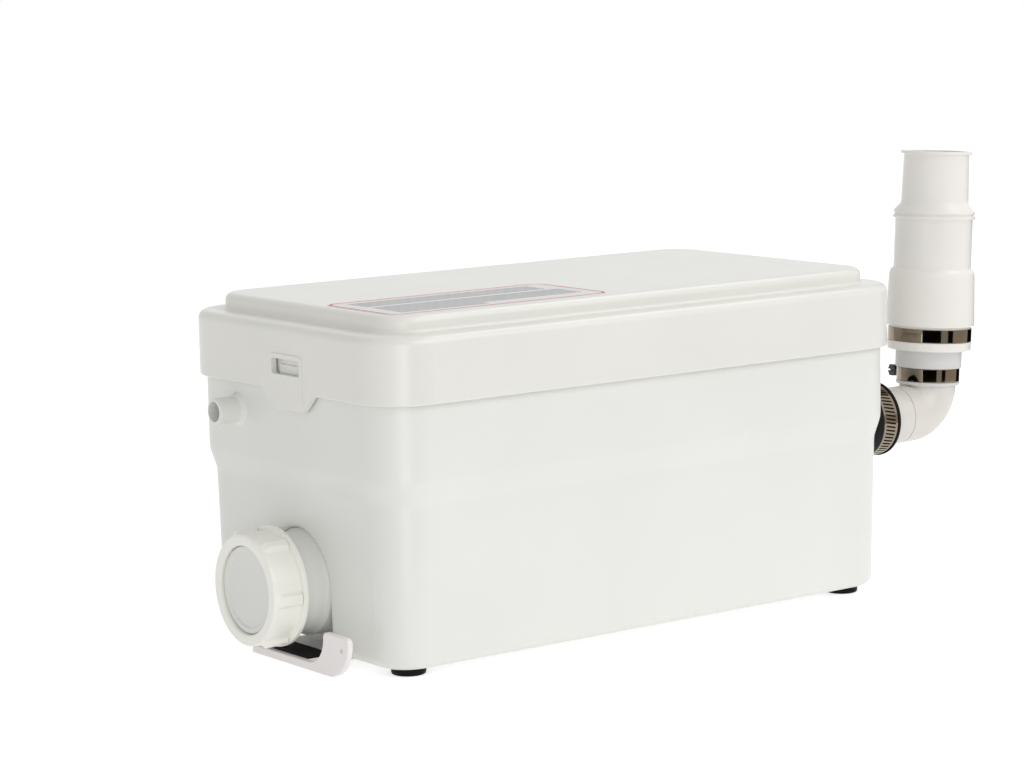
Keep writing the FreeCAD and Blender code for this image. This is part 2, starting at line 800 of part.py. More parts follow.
def filter_canister():
    start = vec(-rim_x + tank_wall, vent_y, vent_z)
    cup = Part.makeCylinder(filter_radius, filter_length, start, ALONG)
    cup = cup.cut(Part.makeCylinder(filter_radius - filter_wall, filter_length - filter_wall, start, ALONG))
    for index in range(filter_hole_count):
        turn = 2 * math.pi * index / filter_hole_count
        offset = vec(0, math.cos(turn), math.sin(turn)) * (filter_radius / 2)
        end = start + offset + ALONG * (filter_length - filter_wall)
        cup = cup.cut(Part.makeCylinder(filter_wall, filter_wall, end, ALONG))
    return cup


def carbon_pad():
    start = vec(-rim_x + tank_wall + filter_boss_length, vent_y, vent_z)
    length = filter_length - filter_wall - filter_boss_length
    return Part.makeCylinder(filter_radius - filter_wall, length, start, ALONG)


# Bracket below the inlet

def curled_bar():
    x = bracket_outer_x
    turn = math.radians(45)
    scoop_y = bracket_curl_y + bracket_scoop_offset
    scoop_z = bracket_thickness + bracket_scoop_radius
    rise = bracket_curl_height - scoop_z
    lip_y = scoop_y - math.sqrt(bracket_scoop_radius ** 2 - rise ** 2)
    foot = vec(x, bracket_curl_y, 0)
    middle = vec(x, bracket_curl_y - bracket_curl_radius * math.sin(turn),
                 bracket_curl_radius * (1 - math.cos(turn)))
    side = vec(x, bracket_curl_y - bracket_curl_radius, bracket_curl_radius)
    peak = vec(x, bracket_curl_y - bracket_curl_radius, bracket_curl_height)
    lip = vec(x, lip_y, bracket_curl_height)
    scoop_middle = vec(x, scoop_y - bracket_scoop_radius * math.sin(turn),
                       scoop_z - bracket_scoop_radius * math.cos(turn))
    scoop_end = vec(x, scoop_y, bracket_thickness)
    end_top = vec(x, bracket_rear_y, bracket_thickness)
    end_low = vec(x, bracket_rear_y, 0)
    edges = [
        Part.LineSegment(end_low, foot).toShape(),
        Part.Arc(foot, middle, side).toShape(),
        Part.LineSegment(side, peak).toShape(),
        Part.LineSegment(peak, lip).toShape(),
        Part.Arc(lip, scoop_middle, scoop_end).toShape(),
        Part.LineSegment(scoop_end, end_top).toShape(),
        Part.LineSegment(end_top, end_low).toShape(),
    ]
    bar = Part.Face(Part.Wire(edges)).extrude(vec(bracket_curl_depth, 0, 0))
    bar = bar.makeFillet(bracket_corner_radius, edges_along_x(bar, peak.z))
    outline = [edge for edge in bar.Edges if edge.BoundBox.XMax < x + 0.001]
    return bar.makeFillet(bracket_edge_radius, outline)


def floor_bracket():
    plate = slab(bracket_outer_x + bracket_curl_depth, bracket_end_x, bracket_heel_y, bracket_rear_y, 0,
                 bracket_thickness)
    body = curled_bar().fuse(plate)
    for x, y in bracket_screw_places():
        body = body.cut(Part.makeCylinder(bracket_screw_radius, bracket_thickness, vec(x, y, 0), UP))
        body = body.cut(Part.makeCylinder(bracket_screw_head_radius - bracket_head_web, bracket_head_depth,
                                          vec(x, y, 0), UP))
    dimple = vec(bracket_outer_x, bracket_dimple_y, bracket_dimple_z)
    return body.cut(Part.makeCylinder(bracket_dimple_radius, bracket_dimple_depth, dimple, ALONG))


def bracket_screws():
    screws = []
    for x, y in bracket_screw_places():
        head_height = bracket_head_depth - bracket_head_recess
        length = tank_bottom_z + bracket_screw_length - bracket_head_depth
        screws.append(pan_screw(bracket_screw_head_radius - bracket_head_web, head_height, bracket_screw_radius,
                                length, vec(x, y, bracket_head_depth), UP))
    return group(screws)


def bracket_pad():
    return slab(bracket_outer_x + pad_margin, bracket_wall_x, bracket_heel_y, bracket_rear_y - pad_margin,
                bracket_thickness, bracket_thickness + pad_thickness)


# Discharge

def outlet_sleeve():
    start = vec(sleeve_start_x, outlet_y, outlet_z)
    return tube(sleeve_radius, elbow_radius + swivel_clearance, start, ALONG, sleeve_length)


def lean(shape):
    shape.rotate(riser_foot, ACROSS, riser_lean)
    return shape


def elbow_solid(radius):
    tail = Part.makeCylinder(radius, bend_start_x - elbow_tail_x, vec(elbow_tail_x, outlet_y, outlet_z), ALONG)
    start = vec(bend_start_x, outlet_y, outlet_z)
    corner = bend(radius, start, ALONG, start + UP * elbow_bend_radius, vec(0, -1, 0), elbow_turn)
    leg = Part.makeCylinder(radius, elbow_leg_length, vec(riser_x, outlet_y, bend_end_z), UP)
    return tail.fuse([corner, lean(leg)])


def discharge_elbow():
    body = elbow_solid(elbow_radius)
    seam = tube(elbow_radius, elbow_radius - elbow_seam_depth, vec(elbow_seam_x, outlet_y, outlet_z), ALONG,
                elbow_seam_width)
    return body.cut(elbow_solid(elbow_bore)).cut(seam)


def valve_seat():
    ring = tube(elbow_bore, seat_port_radius, vec(seat_start_x, outlet_y, outlet_z), ALONG, seat_thickness)
    pin_z = outlet_z + flap_pin_offset
    for side in (-1, 1):
        near = outlet_y + side * (flap_ear_half_width + flap_gap)
        far = near + side * seat_ear_thickness
        ear = slab(seat_end_x, flap_pin_x + seat_ear_reach, min(near, far), max(near, far),
                   pin_z - seat_ear_reach, pin_z + seat_ear_reach / 2)
        ring = ring.fuse(ear)
    return ring.cut(Part.makeCylinder(flap_pin_radius, flap_pin_length, flap_pin_start, ACROSS))


def flap_pin():
    return Part.makeCylinder(flap_pin_radius, flap_pin_length, flap_pin_start, ACROSS)


def check_flap():
    start = vec(seat_end_x + flap_gap, outlet_y, outlet_z)
    disc = Part.makeCylinder(flap_radius, flap_thickness, start, ALONG)
    pin_at = vec(flap_pin_x, outlet_y - flap_ear_half_width, outlet_z + flap_pin_offset)
    knuckle_radius = flap_pin_x - seat_end_x - 2 * flap_gap
    top_z = outlet_z + flap_pin_offset - seat_ear_reach - flap_ear_room
    disc = disc.cut(slab(start.x, flap_pin_x, outlet_y - flap_radius, outlet_y + flap_radius, top_z,
                         outlet_z + flap_radius))
    knuckle = Part.makeCylinder(knuckle_radius, 2 * flap_ear_half_width, pin_at, ACROSS)
    arm = slab(start.x, flap_pin_x, outlet_y - flap_ear_half_width, outlet_y + flap_ear_half_width,
               top_z - flap_thickness, outlet_z + flap_pin_offset)
    body = disc.fuse([knuckle, arm])
    hole = Part.makeCylinder(flap_pin_radius + flap_pin_clearance, 2 * flap_ear_half_width, pin_at, ACROSS)
    return body.cut(hole)


def flexible_coupling():
    groove_top_z = coupling_groove_z + coupling_groove_height
    points = [
        (elbow_radius, coupling_bottom_z),
        (coupling_foot_radius - adaptor_edge, coupling_bottom_z),
        (coupling_foot_radius, coupling_bottom_z + adaptor_edge),
        (coupling_foot_radius, coupling_groove_z),
        (coupling_groove_radius, coupling_groove_z),
        (coupling_groove_radius, groove_top_z),
        (coupling_radius, groove_top_z),
        (coupling_radius, coupling_top_z),
        (elbow_radius, coupling_top_z),
    ]
    return lean(revolved(points, riser_x, outlet_y))


def adaptor_shoulder():
    points = []
    for step in range(adaptor_shoulder_steps + 1):
        turn = math.radians(90 * step / adaptor_shoulder_steps)
        radius = adaptor_mid_radius + (adaptor_bell_radius - adaptor_mid_radius) * math.cos(turn)
        points.append((radius, adaptor_shoulder_z + adaptor_shoulder_height * math.sin(turn)))
    return points


def stepped_adaptor():
    edge = adaptor_edge
    skirt = adaptor_skirt_radius
    bead = adaptor_bead_radius
    groove_low_z = adaptor_bead_z + adaptor_bead_height
    points = [
        (coupling_radius, adaptor_skirt_z),
        (skirt - adaptor_skirt_bevel, adaptor_skirt_z),
        (skirt, adaptor_skirt_z + adaptor_skirt_height / 2),
        (skirt, adaptor_groove_z),
        (adaptor_groove_radius, adaptor_groove_z),
        (adaptor_groove_radius, adaptor_bell_z),
        (adaptor_bell_low_radius - edge / 2, adaptor_bell_z),
        (adaptor_bell_low_radius, adaptor_bell_z + edge / 2),
        (adaptor_bell_low_radius, adaptor_bell_z + edge),
        *adaptor_shoulder(),
        (adaptor_mid_radius, adaptor_bead_z),
        (bead - edge / 2, adaptor_bead_z),
        (bead, adaptor_bead_z + edge),
        (bead, groove_low_z - edge / 2),
        (adaptor_bead_groove_radius, groove_low_z),
        (adaptor_bead_groove_radius, adaptor_rim_z - edge / 2),
        (adaptor_rim_radius, adaptor_rim_z),
        (adaptor_rim_radius, adaptor_cone_z),
        (adaptor_neck_radius, adaptor_neck_z),
        (adaptor_top_radius, adaptor_lip_z),
        (adaptor_lip_radius, adaptor_lip_z),
        (adaptor_lip_radius, adaptor_top_z),
        (adaptor_socket_radius, adaptor_top_z),
        (adaptor_socket_radius, adaptor_neck_z),
        (adaptor_mid_radius - adaptor_wall, adaptor_bead_z),
        (adaptor_mid_radius - adaptor_wall, coupling_top_z),
        (coupling_radius, coupling_top_z),
    ]
    return lean(revolved(points, riser_x, outlet_y))


# Worm-drive clamps, made round a ring whose axis is Z with the housing at +X

def clamp_band(inner_radius, width, slotted):
    outer_radius = inner_radius + band_thickness
    band = tube(outer_radius, inner_radius, vec(0, 0, -width / 2), UP, width)
    half_width = worm_radius + worm_clearance + housing_wall
    top = outer_radius + 2 * half_width
    housing = slab(inner_radius + band_thickness / 2, top, -housing_length / 2, housing_length / 2,
                   -half_width, half_width)
    tunnel_at = vec(outer_radius + half_width, -housing_length, 0)
    tunnel = Part.makeCylinder(worm_radius + worm_clearance, 2 * housing_length, tunnel_at, ACROSS)
    clear_core = Part.makeCylinder(inner_radius, width, vec(0, 0, -width / 2), UP)
    body = band.fuse(housing).cut(tunnel).cut(clear_core)
    if not slotted:
        return body
    slots = []
    for index in range(band_slot_count):
        angle = index * 360 / band_slot_count
        if min(angle, 360 - angle) > band_plain_half_angle:
            slot = slab(inner_radius - band_thickness, outer_radius + band_thickness,
                        -band_slot_width / 2, band_slot_width / 2, -band_slot_length / 2, band_slot_length / 2)
            slot.rotate(vec(0, 0, 0), UP, angle)
            slots.append(slot)
    return body.cut(group(slots))


def clamp_screw(inner_radius):
    half_width = worm_radius + worm_clearance + housing_wall
    axis_x = inner_radius + band_thickness + half_width
    shank = Part.makeCylinder(worm_radius, worm_length, vec(axis_x, -worm_length / 2, 0), ACROSS)
    head_at = vec(axis_x, worm_length / 2, 0)
    head = hexagon(worm_head_radius, worm_head_length, head_at, ACROSS)
    slot = slab(axis_x - worm_head_radius, axis_x + worm_head_radius,
                worm_length / 2 + worm_head_length / 2, worm_length / 2 + worm_head_length,
                -worm_slot_width / 2, worm_slot_width / 2)
    return shank.fuse(head).cut(slot)


def stand_up(shape, middle_z, bearing):
    shape.rotate(vec(0, 0, 0), UP, bearing)
    shape.translate(vec(riser_x, outlet_y, middle_z))
    return lean(shape)


def lay_along(shape, middle_x):
    shape.rotate(vec(0, 0, 0), ACROSS, 90)
    shape.rotate(vec(0, 0, 0), ALONG, 90)
    shape.translate(vec(middle_x, outlet_y, outlet_z))
    return shape


# Pump

def pump_at(z):
    return vec(pump_x, pump_y, z)


def ring_places(count, circle):
    places = []
    for index in range(count):
        turn = 2 * math.pi * (index + 0.5) / count
        places.append((pump_x + circle * math.cos(turn), pump_y + circle * math.sin(turn)))
    return places


def volute_housing():
    body = Part.makeCylinder(volute_radius, volute_top_z - cover_top_z, pump_at(cover_top_z), UP)
    flange = Part.makeCylinder(flange_radius, flange_thickness, pump_at(volute_top_z - flange_thickness), UP)
    nozzle_at = vec(pump_x, outlet_y, nozzle_z)
    nozzle = Part.makeCylinder(nozzle_radius, nozzle_end_x - pump_x, nozzle_at, ALONG)
    body = body.fuse([flange, nozzle])
    ceiling_z = volute_top_z - flange_thickness
    cavity = Part.makeCylinder(volute_radius - volute_wall, ceiling_z - cover_top_z, pump_at(cover_top_z), UP)
    throat = Part.makeCylinder(outlet_bore_radius, nozzle_end_x - pump_x, nozzle_at, ALONG)
    seal_hole = Part.makeCylinder(seal_radius, flange_thickness, pump_at(ceiling_z), UP)
    body = body.cut(group([cavity.fuse(throat), seal_hole]))
    for x, y in ring_places(pump_screw_count, pump_screw_circle):
        body = body.cut(Part.makeCylinder(small_screw_radius, flange_thickness, vec(x, y, ceiling_z), UP))
    return body


def volute_cover():
    disc = Part.makeCylinder(volute_radius, cover_thickness, pump_at(cover_bottom_z), UP)
    return disc.cut(Part.makeCylinder(suction_radius, cover_thickness, pump_at(cover_bottom_z), UP))


def suction_strainer():
    height = cover_bottom_z - tank_floor_z - strainer_floor_gap
    ring = tube(strainer_radius, strainer_radius - strainer_wall, pump_at(cover_bottom_z - height), UP, height)
    slots = []
    for index in range(strainer_slots):
        slot = slab(0, 2 * strainer_radius, -strainer_slot_width / 2, strainer_slot_width / 2, 0, height * 2 / 3)
        slot.rotate(vec(0, 0, 0), UP, 360 * index / strainer_slots)
        slot.translate(pump_at(cover_bottom_z - height))
        slots.append(slot)
    for slot in slots:
        ring = ring.cut(slot)
    return ring


def pump_pads():
    pads = []
    for x, y in ring_places(3, pump_pad_circle):
        pads.append(Part.makeCylinder(pump_pad_radius, cover_bottom_z - tank_floor_z, vec(x, y, tank_floor_z), UP))
    return group(pads)


def motor_base():
    disc = Part.makeCylinder(flange_radius, base_thickness, pump_at(volute_top_z), UP)
    boss = Part.makeCylinder(bearing_radius + bearing_boss_wall, bearing_length, pump_at(base_top_z), UP)
    body = disc.fuse(boss)
    pocket = Part.makeCylinder(bearing_radius, bearing_length, pump_at(base_top_z), UP)
    hole = Part.makeCylinder(seal_radius, base_thickness, pump_at(volute_top_z), UP)
    body = body.cut(pocket.fuse(hole))
    for x, y in ring_places(pump_screw_count, pump_screw_circle):
        body = body.cut(Part.makeCylinder(small_screw_radius, base_thickness, vec(x, y, volute_top_z), UP))
    return body


def motor_canister():
    body = Part.makeCylinder(canister_radius, canister_top_z - base_top_z, pump_at(base_top_z), UP)
    body = body.makeFillet(canister_edge_radius, edges_at_z(body, canister_top_z))
    flange = Part.makeCylinder(flange_radius, flange_thickness, pump_at(base_top_z), UP)
    body = body.fuse(flange)
    inner_radius = canister_radius - canister_wall
    ceiling_z = canister_top_z - canister_cap
    body = body.cut(Part.makeCylinder(inner_radius, ceiling_z - base_top_z, pump_at(base_top_z), UP))
    body = body.fuse(tube(bearing_radius + bearing_boss_wall, bearing_radius, pump_at(upper_bearing_z), UP,
                          ceiling_z - upper_bearing_z))
    for x, y in ring_places(pump_screw_count, pump_screw_circle):
        body = body.cut(Part.makeCylinder(small_screw_radius, flange_thickness, vec(x, y, base_top_z), UP))
    return body


def pump_screws():
    top = base_top_z + flange_thickness
    length = top - (volute_top_z - flange_thickness)
    places = ring_places(pump_screw_count, pump_screw_circle)
    return group([small_screw(vec(x, y, top), length, vec(0, 0, -1)) for x, y in places])


def stator_core():
    inner = canister_radius - canister_wall
    return tube(inner, stator_bore_radius, pump_at(stator_bottom_z), UP, stator_top_z - stator_bottom_z)


def stator_windings():
    inner = stator_bore_radius + air_gap
    rings = []
    for z in (stator_bottom_z - winding_height, stator_top_z):
        ring = tube(inner + winding_wall, inner, pump_at(z), UP, winding_height)
        free_z = z if z < stator_bottom_z else z + winding_height
        rings.append(ring.makeFillet(winding_height / 3, edges_at_z(ring, free_z)))
    return group(rings)


def bearing(z):
    return tube(bearing_radius, shaft_radius + shaft_clearance, pump_at(z), UP, bearing_length)


def shaft_seal():
    start_z = volute_top_z - flange_thickness
    return tube(seal_radius, shaft_radius + shaft_clearance, pump_at(start_z), UP, base_top_z - start_z)


def rotor_core():
    return tube(stator_bore_radius - air_gap, shaft_radius, pump_at(stator_bottom_z), UP,
                stator_top_z - stator_bottom_z)


def motor_shaft():
    shaft = Part.makeCylinder(shaft_radius, shaft_top_z - shaft_bottom_z, pump_at(shaft_bottom_z), UP)
    return shaft.makeChamfer(shaft_radius / 8, edges_at_z(shaft, shaft_top_z))


def impeller():
    height = impeller_top_z - impeller_low_z
    hub = tube(impeller_hub_radius, shaft_radius, pump_at(impeller_low_z), UP, height)
    shroud = tube(impeller_radius, shaft_radius, pump_at(impeller_top_z - impeller_shroud), UP, impeller_shroud)
    body = hub.fuse(shroud)
    vane = impeller_vane()
    for index in range(vane_count):
        turned = vane.copy()
        turned.rotate(vec(0, 0, 0), UP, 360 * index / vane_count)
        turned.translate(vec(pump_x, pump_y, 0))
        body = body.fuse(turned)
    return body


def impeller_vane():
    root = impeller_hub_radius - vane_thickness
    tip = impeller_radius
    sides = []
    for shift in (-vane_thickness / 2, vane_thickness / 2):
        points = []
        for step in range(3):
            radius = root + (tip - root) * step / 2
            turn = -math.radians(vane_sweep_degrees) * (step / 2) ** 1.5
            points.append(vec(radius * math.cos(turn) - shift * math.sin(turn),
                              radius * math.sin(turn) + shift * math.cos(turn), impeller_low_z))
        sides.append(points)
    near, far = sides
    edges = [
        Part.Arc(near[0], near[1], near[2]).toShape(),
        Part.LineSegment(near[2], far[2]).toShape(),
        Part.Arc(far[2], far[1], far[0]).toShape(),
        Part.LineSegment(far[0], near[0]).toShape(),
    ]
    vane = Part.Face(Part.Wire(edges)).extrude(vec(0, 0, impeller_top_z - impeller_low_z))
    return vane.common(Part.makeCylinder(impeller_radius, impeller_top_z, vec(0, 0, 0), UP))


def impeller_nut():
    nut = hexagon(impeller_nut_radius, impeller_nut_height, pump_at(shaft_bottom_z), UP)
    return nut.cut(Part.makeCylinder(shaft_radius, impeller_nut_height, pump_at(shaft_bottom_z), UP))


# Riser hose

def hose_run(radius, start_x, end_x):
    low = Part.makeCylinder(radius, nozzle_end_x - start_x, vec(start_x, outlet_y, nozzle_z), ALONG)
    low_pivot = vec(nozzle_end_x, outlet_y, nozzle_z + hose_bend_radius)
    low_bend = bend(radius, vec(nozzle_end_x, outlet_y, nozzle_z), ALONG, low_pivot, vec(0, -1, 0), 90)
    rise = outlet_z - nozzle_z - 2 * hose_bend_radius
    riser = Part.makeCylinder(radius, rise, vec(hose_x, outlet_y, nozzle_z + hose_bend_radius), UP)
    high_pivot = vec(hose_x + hose_bend_radius, outlet_y, outlet_z - hose_bend_radius)
    high_bend = bend(radius, vec(hose_x, outlet_y, outlet_z - hose_bend_radius), UP, high_pivot, ACROSS, 90)
    high_x = hose_x + hose_bend_radius
    high = Part.makeCylinder(radius, end_x - high_x, vec(high_x, outlet_y, outlet_z), ALONG)
    return low.fuse([low_bend, riser, high_bend, high])


def riser_hose():
    return hose_run(hose_radius, hose_start_x, hose_end_x).cut(hose_run(nozzle_radius, hose_start_x, hose_end_x))


def hose_bands():
    inset = hose_band_inset
    low = tube(hose_radius + band_thickness, hose_radius, vec(hose_start_x + inset, outlet_y, nozzle_z), ALONG,
               hose_band_width)
    high = tube(hose_radius + band_thickness, hose_radius,
                vec(hose_end_x - inset - hose_band_width, outlet_y, outlet_z), ALONG, hose_band_width)
    return group([low, high])


# Level switch

def bell_at(z):
    return vec(bell_x, bell_y, z)


def air_bell():
    body = Part.makeCylinder(bell_radius, bell_top_z - bell_bottom_z, bell_at(bell_bottom_z), UP)
    inside = Part.makeCylinder(bell_radius - bell_wall, bell_top_z - bell_wall - bell_bottom_z,
                               bell_at(bell_bottom_z), UP)
    port = Part.makeCylinder(diaphragm_port_radius, bell_wall, bell_at(bell_top_z - bell_wall), UP)
    body = body.cut(inside.fuse(port))
    for index in range(bell_leg_count):
        turn = 2 * math.pi * index / bell_leg_count
        reach = bell_radius - bell_wall / 2
        place = vec(bell_x + reach * math.cos(turn), bell_y + reach * math.sin(turn), tank_floor_z)
        body = body.fuse(Part.makeCylinder(bell_leg_radius, 2 * (bell_bottom_z - tank_floor_z), place, UP))
    return body


def diaphragm():
    return Part.makeCylinder(bell_radius, diaphragm_thickness, bell_at(bell_top_z), UP)


def switch_cup():
    low_z = bell_top_z + diaphragm_thickness
    body = Part.makeCylinder(bell_radius, switch_cup_height, bell_at(low_z), UP)
    inside = Part.makeCylinder(bell_radius - bell_wall, switch_cup_height - bell_wall, bell_at(low_z), UP)
    guide = tube(bell_radius - bell_wall / 2, plunger_radius + plunger_clearance, bell_at(guide_z), UP, bell_wall)
    return body.cut(inside).fuse(guide)


def switch_plunger():
    foot = Part.makeCylinder(plunger_foot_radius, plunger_foot_height, bell_at(plunger_z), UP)
    stem = Part.makeCylinder(plunger_radius, plunger_length, bell_at(plunger_z), UP)
    return foot.fuse(stem)


def microswitch():
    ceiling_z = bell_top_z + diaphragm_thickness + switch_cup_height - bell_wall
    button_z = plunger_z + plunger_length + plunger_travel + plunger_gap
    return slab(bell_x - micro_length / 2, bell_x + micro_length / 2, bell_y - micro_width / 2,
                bell_y + micro_width / 2, button_z, ceiling_z)


# Control box

def cover_screw_places():
    reach_x = box_length / 2 - box_corner_radius
    reach_y = box_width / 2 - box_corner_radius
    return [(box_x + x, box_y + y) for x in (-reach_x, reach_x) for y in (-reach_y, reach_y)]


def control_box():
    body = rounded_block(box_length / 2, box_width / 2, box_corner_radius, box_bottom_z, box_top_z, box_x, box_y)
    inside = rounded_block(box_length / 2 - box_wall, box_width / 2 - box_wall, box_corner_radius - box_wall,
                           box_bottom_z + box_wall, box_top_z, box_x, box_y)
    body = body.cut(inside)
    for x, y in cover_screw_places():
        height = box_height - box_wall
        body = body.fuse(Part.makeCylinder(cover_post_radius, height, vec(x, y, box_bottom_z + box_wall), UP))
    for side in (-1, 1):
        middle = box_x + side * capacitor_length / 3
        body = body.fuse(slab(middle - box_wall, middle + box_wall, capacitor_y - capacitor_radius / 2,
                              capacitor_y + capacitor_radius / 2, box_bottom_z + box_wall,
                              capacitor_z - capacitor_radius + box_wall))
    rest = Part.makeCylinder(capacitor_radius, capacitor_length,
                             vec(box_x - capacitor_length / 2, capacitor_y, capacitor_z), ALONG)
    body = body.cut(rest)
    for x, y in cover_screw_places():
        body = body.cut(Part.makeCylinder(small_screw_radius, cover_screw_bite,
                                          vec(x, y, box_top_z - cover_screw_bite), UP))
    for x, y in post_places():
        body = body.cut(Part.makeCylinder(small_screw_radius, box_wall, vec(x, y, box_bottom_z), UP))
    return body


def control_box_cover():
    body = rounded_block(box_length / 2, box_width / 2, box_corner_radius, box_top_z,
                         box_top_z + box_cover_thickness, box_x, box_y)
    for x, y in cover_screw_places():
        body = body.cut(Part.makeCylinder(small_screw_radius, box_cover_thickness, vec(x, y, box_top_z), UP))
    return body


def cover_screws():
    length = box_cover_thickness + cover_screw_bite
    seat_z = box_top_z + box_cover_thickness
    return group([small_screw(vec(x, y, seat_z), length, vec(0, 0, -1)) for x, y in cover_screw_places()])


def box_screws():
    seat_z = box_bottom_z + box_wall
    length = box_wall + box_screw_bite
    return group([small_screw(vec(x, y, seat_z), length, vec(0, 0, -1)) for x, y in post_places()])


def capacitor():
    start = vec(box_x - capacitor_length / 2, capacitor_y, capacitor_z)
    body = Part.makeCylinder(capacitor_radius, capacitor_length, start, ALONG)
    ends = [edge for edge in body.Edges if len(edge.Vertexes) == 1]
    return body.makeFillet(capacitor_radius / 8, ends)


def control_board():
    return slab(box_x - board_length / 2, box_x + board_length / 2, board_y, board_y + board_thickness,
                box_bottom_z + box_wall, box_bottom_z + box_wall + board_height)


# Cable gland in the rear wall

def cable_gland():
    thread_length = tank_wall + gland_locknut_length + gland_thread_spare
    thread_start = vec(gland_x, rim_y - thread_length, gland_z)
    thread = Part.makeCylinder(gland_thread_radius, thread_length, thread_start, ACROSS)
    body = hexagon(gland_hex_radius, gland_hex_length, vec(gland_x, rim_y, gland_z), ACROSS)
    dome_at = vec(gland_x, rim_y + gland_hex_length, gland_z)
    dome = Part.makeCylinder(gland_hex_radius - gland_dome_step, gland_dome_length, dome_at, ACROSS)
    rim = [edge for edge in dome.Edges if abs(edge.CenterOfMass.y - dome_at.y - gland_dome_length) < 0.001]
    dome = dome.makeFillet(gland_dome_step * 2, rim)
    core = Part.makeCylinder(gland_core_radius, thread_length + gland_hex_length, thread_start, ACROSS)
    bore = Part.makeCylinder(gland_bore_radius, gland_dome_length, dome_at, ACROSS)
    return thread.fuse([body, dome]).cut(core).cut(bore)


def gland_locknut():
    start = vec(gland_x, rim_y - tank_wall - gland_locknut_length, gland_z)
    nut = hexagon(gland_hex_radius, gland_locknut_length, start, ACROSS)
    return nut.cut(Part.makeCylinder(gland_thread_radius, gland_locknut_length, start, ACROSS))


os.makedirs("parts", exist_ok=True)

nodes = {
    "tank_shell": tank_shell(),
    "lid_gasket": lid_gasket(),
    "rubber_feet": rubber_feet(),
    "lid_shell": lid_shell(),
    "service_label": service_label(),
    "inlet_seal": inlet_seal(),
    "blanking_disc": blanking_disc(),
    "inlet_nut": inlet_nut(),
    "filter_canister": filter_canister(),
    "carbon_pad": carbon_pad(),
    "floor_bracket": floor_bracket(),
    "bracket_screws": bracket_screws(),
    "bracket_pad": bracket_pad(),
    "outlet_sleeve": outlet_sleeve(),
    "discharge_elbow": discharge_elbow(),
    "valve_seat": valve_seat(),
    "flap_pin": flap_pin(),
    "check_flap": check_flap(),
    "flexible_coupling": flexible_coupling(),
    "stepped_adaptor": stepped_adaptor(),
    "sleeve_clamp": lay_along(clamp_band(sleeve_radius, sleeve_band_width, True), sleeve_clamp_x),
    "sleeve_clamp_screw": lay_along(clamp_screw(sleeve_radius), sleeve_clamp_x),
    "upper_clamp": stand_up(clamp_band(adaptor_groove_radius, band_width, False), upper_clamp_z,
                            upper_clamp_bearing),
    "upper_clamp_screw": stand_up(clamp_screw(adaptor_groove_radius), upper_clamp_z, upper_clamp_bearing),
    "lower_clamp": stand_up(clamp_band(coupling_groove_radius, band_width, False), lower_clamp_z,
                            lower_clamp_bearing),
    "lower_clamp_screw": stand_up(clamp_screw(coupling_groove_radius), lower_clamp_z, lower_clamp_bearing),
    "volute_housing": volute_housing(),
    "volute_cover": volute_cover(),
    "suction_strainer": suction_strainer(),
    "pump_pads": pump_pads(),
    "motor_base": motor_base(),
    "motor_canister": motor_canister(),
    "pump_screws": pump_screws(),
    "stator_core": stator_core(),
    "stator_windings": stator_windings(),
    "lower_bearing": bearing(base_top_z),
    "upper_bearing": bearing(upper_bearing_z),
    "shaft_seal": shaft_seal(),
    "rotor_core": rotor_core(),
    "motor_shaft": motor_shaft(),
    "impeller": impeller(),
    "impeller_nut": impeller_nut(),
    "riser_hose": riser_hose(),
    "hose_bands": hose_bands(),
    "air_bell": air_bell(),
    "diaphragm": diaphragm(),
    "switch_cup": switch_cup(),
    "switch_plunger": switch_plunger(),
    "microswitch": microswitch(),
    "control_box": control_box(),
    "control_box_cover": control_box_cover(),
    "cover_screws": cover_screws(),
    "box_screws": box_screws(),
    "capacitor": capacitor(),
    "control_board": control_board(),
    "cable_gland": cable_gland(),
    "gland_locknut": gland_locknut(),
}

for name, shape in nodes.items():
    shape = shape.removeSplitter()
    shape.exportStep("parts/" + name + ".step")
    print(name, len(shape.Solids), shape.isValid(), round(shape.Volume, 1))
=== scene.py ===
import math

import bmesh
import bpy
from mathutils import Matrix, Vector


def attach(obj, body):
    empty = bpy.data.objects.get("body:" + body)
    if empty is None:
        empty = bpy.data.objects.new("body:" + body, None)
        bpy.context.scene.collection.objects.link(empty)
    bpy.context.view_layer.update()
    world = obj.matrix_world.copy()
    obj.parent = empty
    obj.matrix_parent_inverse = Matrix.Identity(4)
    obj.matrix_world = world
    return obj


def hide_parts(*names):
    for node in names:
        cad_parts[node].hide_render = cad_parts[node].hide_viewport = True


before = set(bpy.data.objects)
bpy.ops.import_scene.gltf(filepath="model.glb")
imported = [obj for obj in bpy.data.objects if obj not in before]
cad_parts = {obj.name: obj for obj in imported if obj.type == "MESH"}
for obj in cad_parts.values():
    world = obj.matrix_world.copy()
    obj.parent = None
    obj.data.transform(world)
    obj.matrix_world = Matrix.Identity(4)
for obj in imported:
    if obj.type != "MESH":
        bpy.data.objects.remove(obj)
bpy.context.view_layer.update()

# Sizes of the object are in millimetres, and mm turns them into metres. Sizes of the studio are in metres.
# The frame has +X towards the discharge, -Y towards the long front face and +Z up.
mm = 0.001

# Camera, solved from the tank's edges in the photograph
photo_width = 1024
focal_pixels = 3053.7
sensor_width = 36.0
near_clip = 0.05
far_clip = 50.0
camera_place = Vector((-866.16, -1134.90, 311.69)) * mm
camera_yaw = math.radians(36.619)
camera_pitch = math.radians(-8.102)
camera_roll = math.radians(-1.120)

# Floor and backdrop: how bright each looks to the camera and in reflections, and how much light it gives
floor_size = 12.0
floor_white = 0.80
floor_roughness = 0.9
floor_specular = 0.1
floor_looks = 0.60
floor_gives = 0.26
backdrop_looks = 1.0
backdrop_gives = 0.52

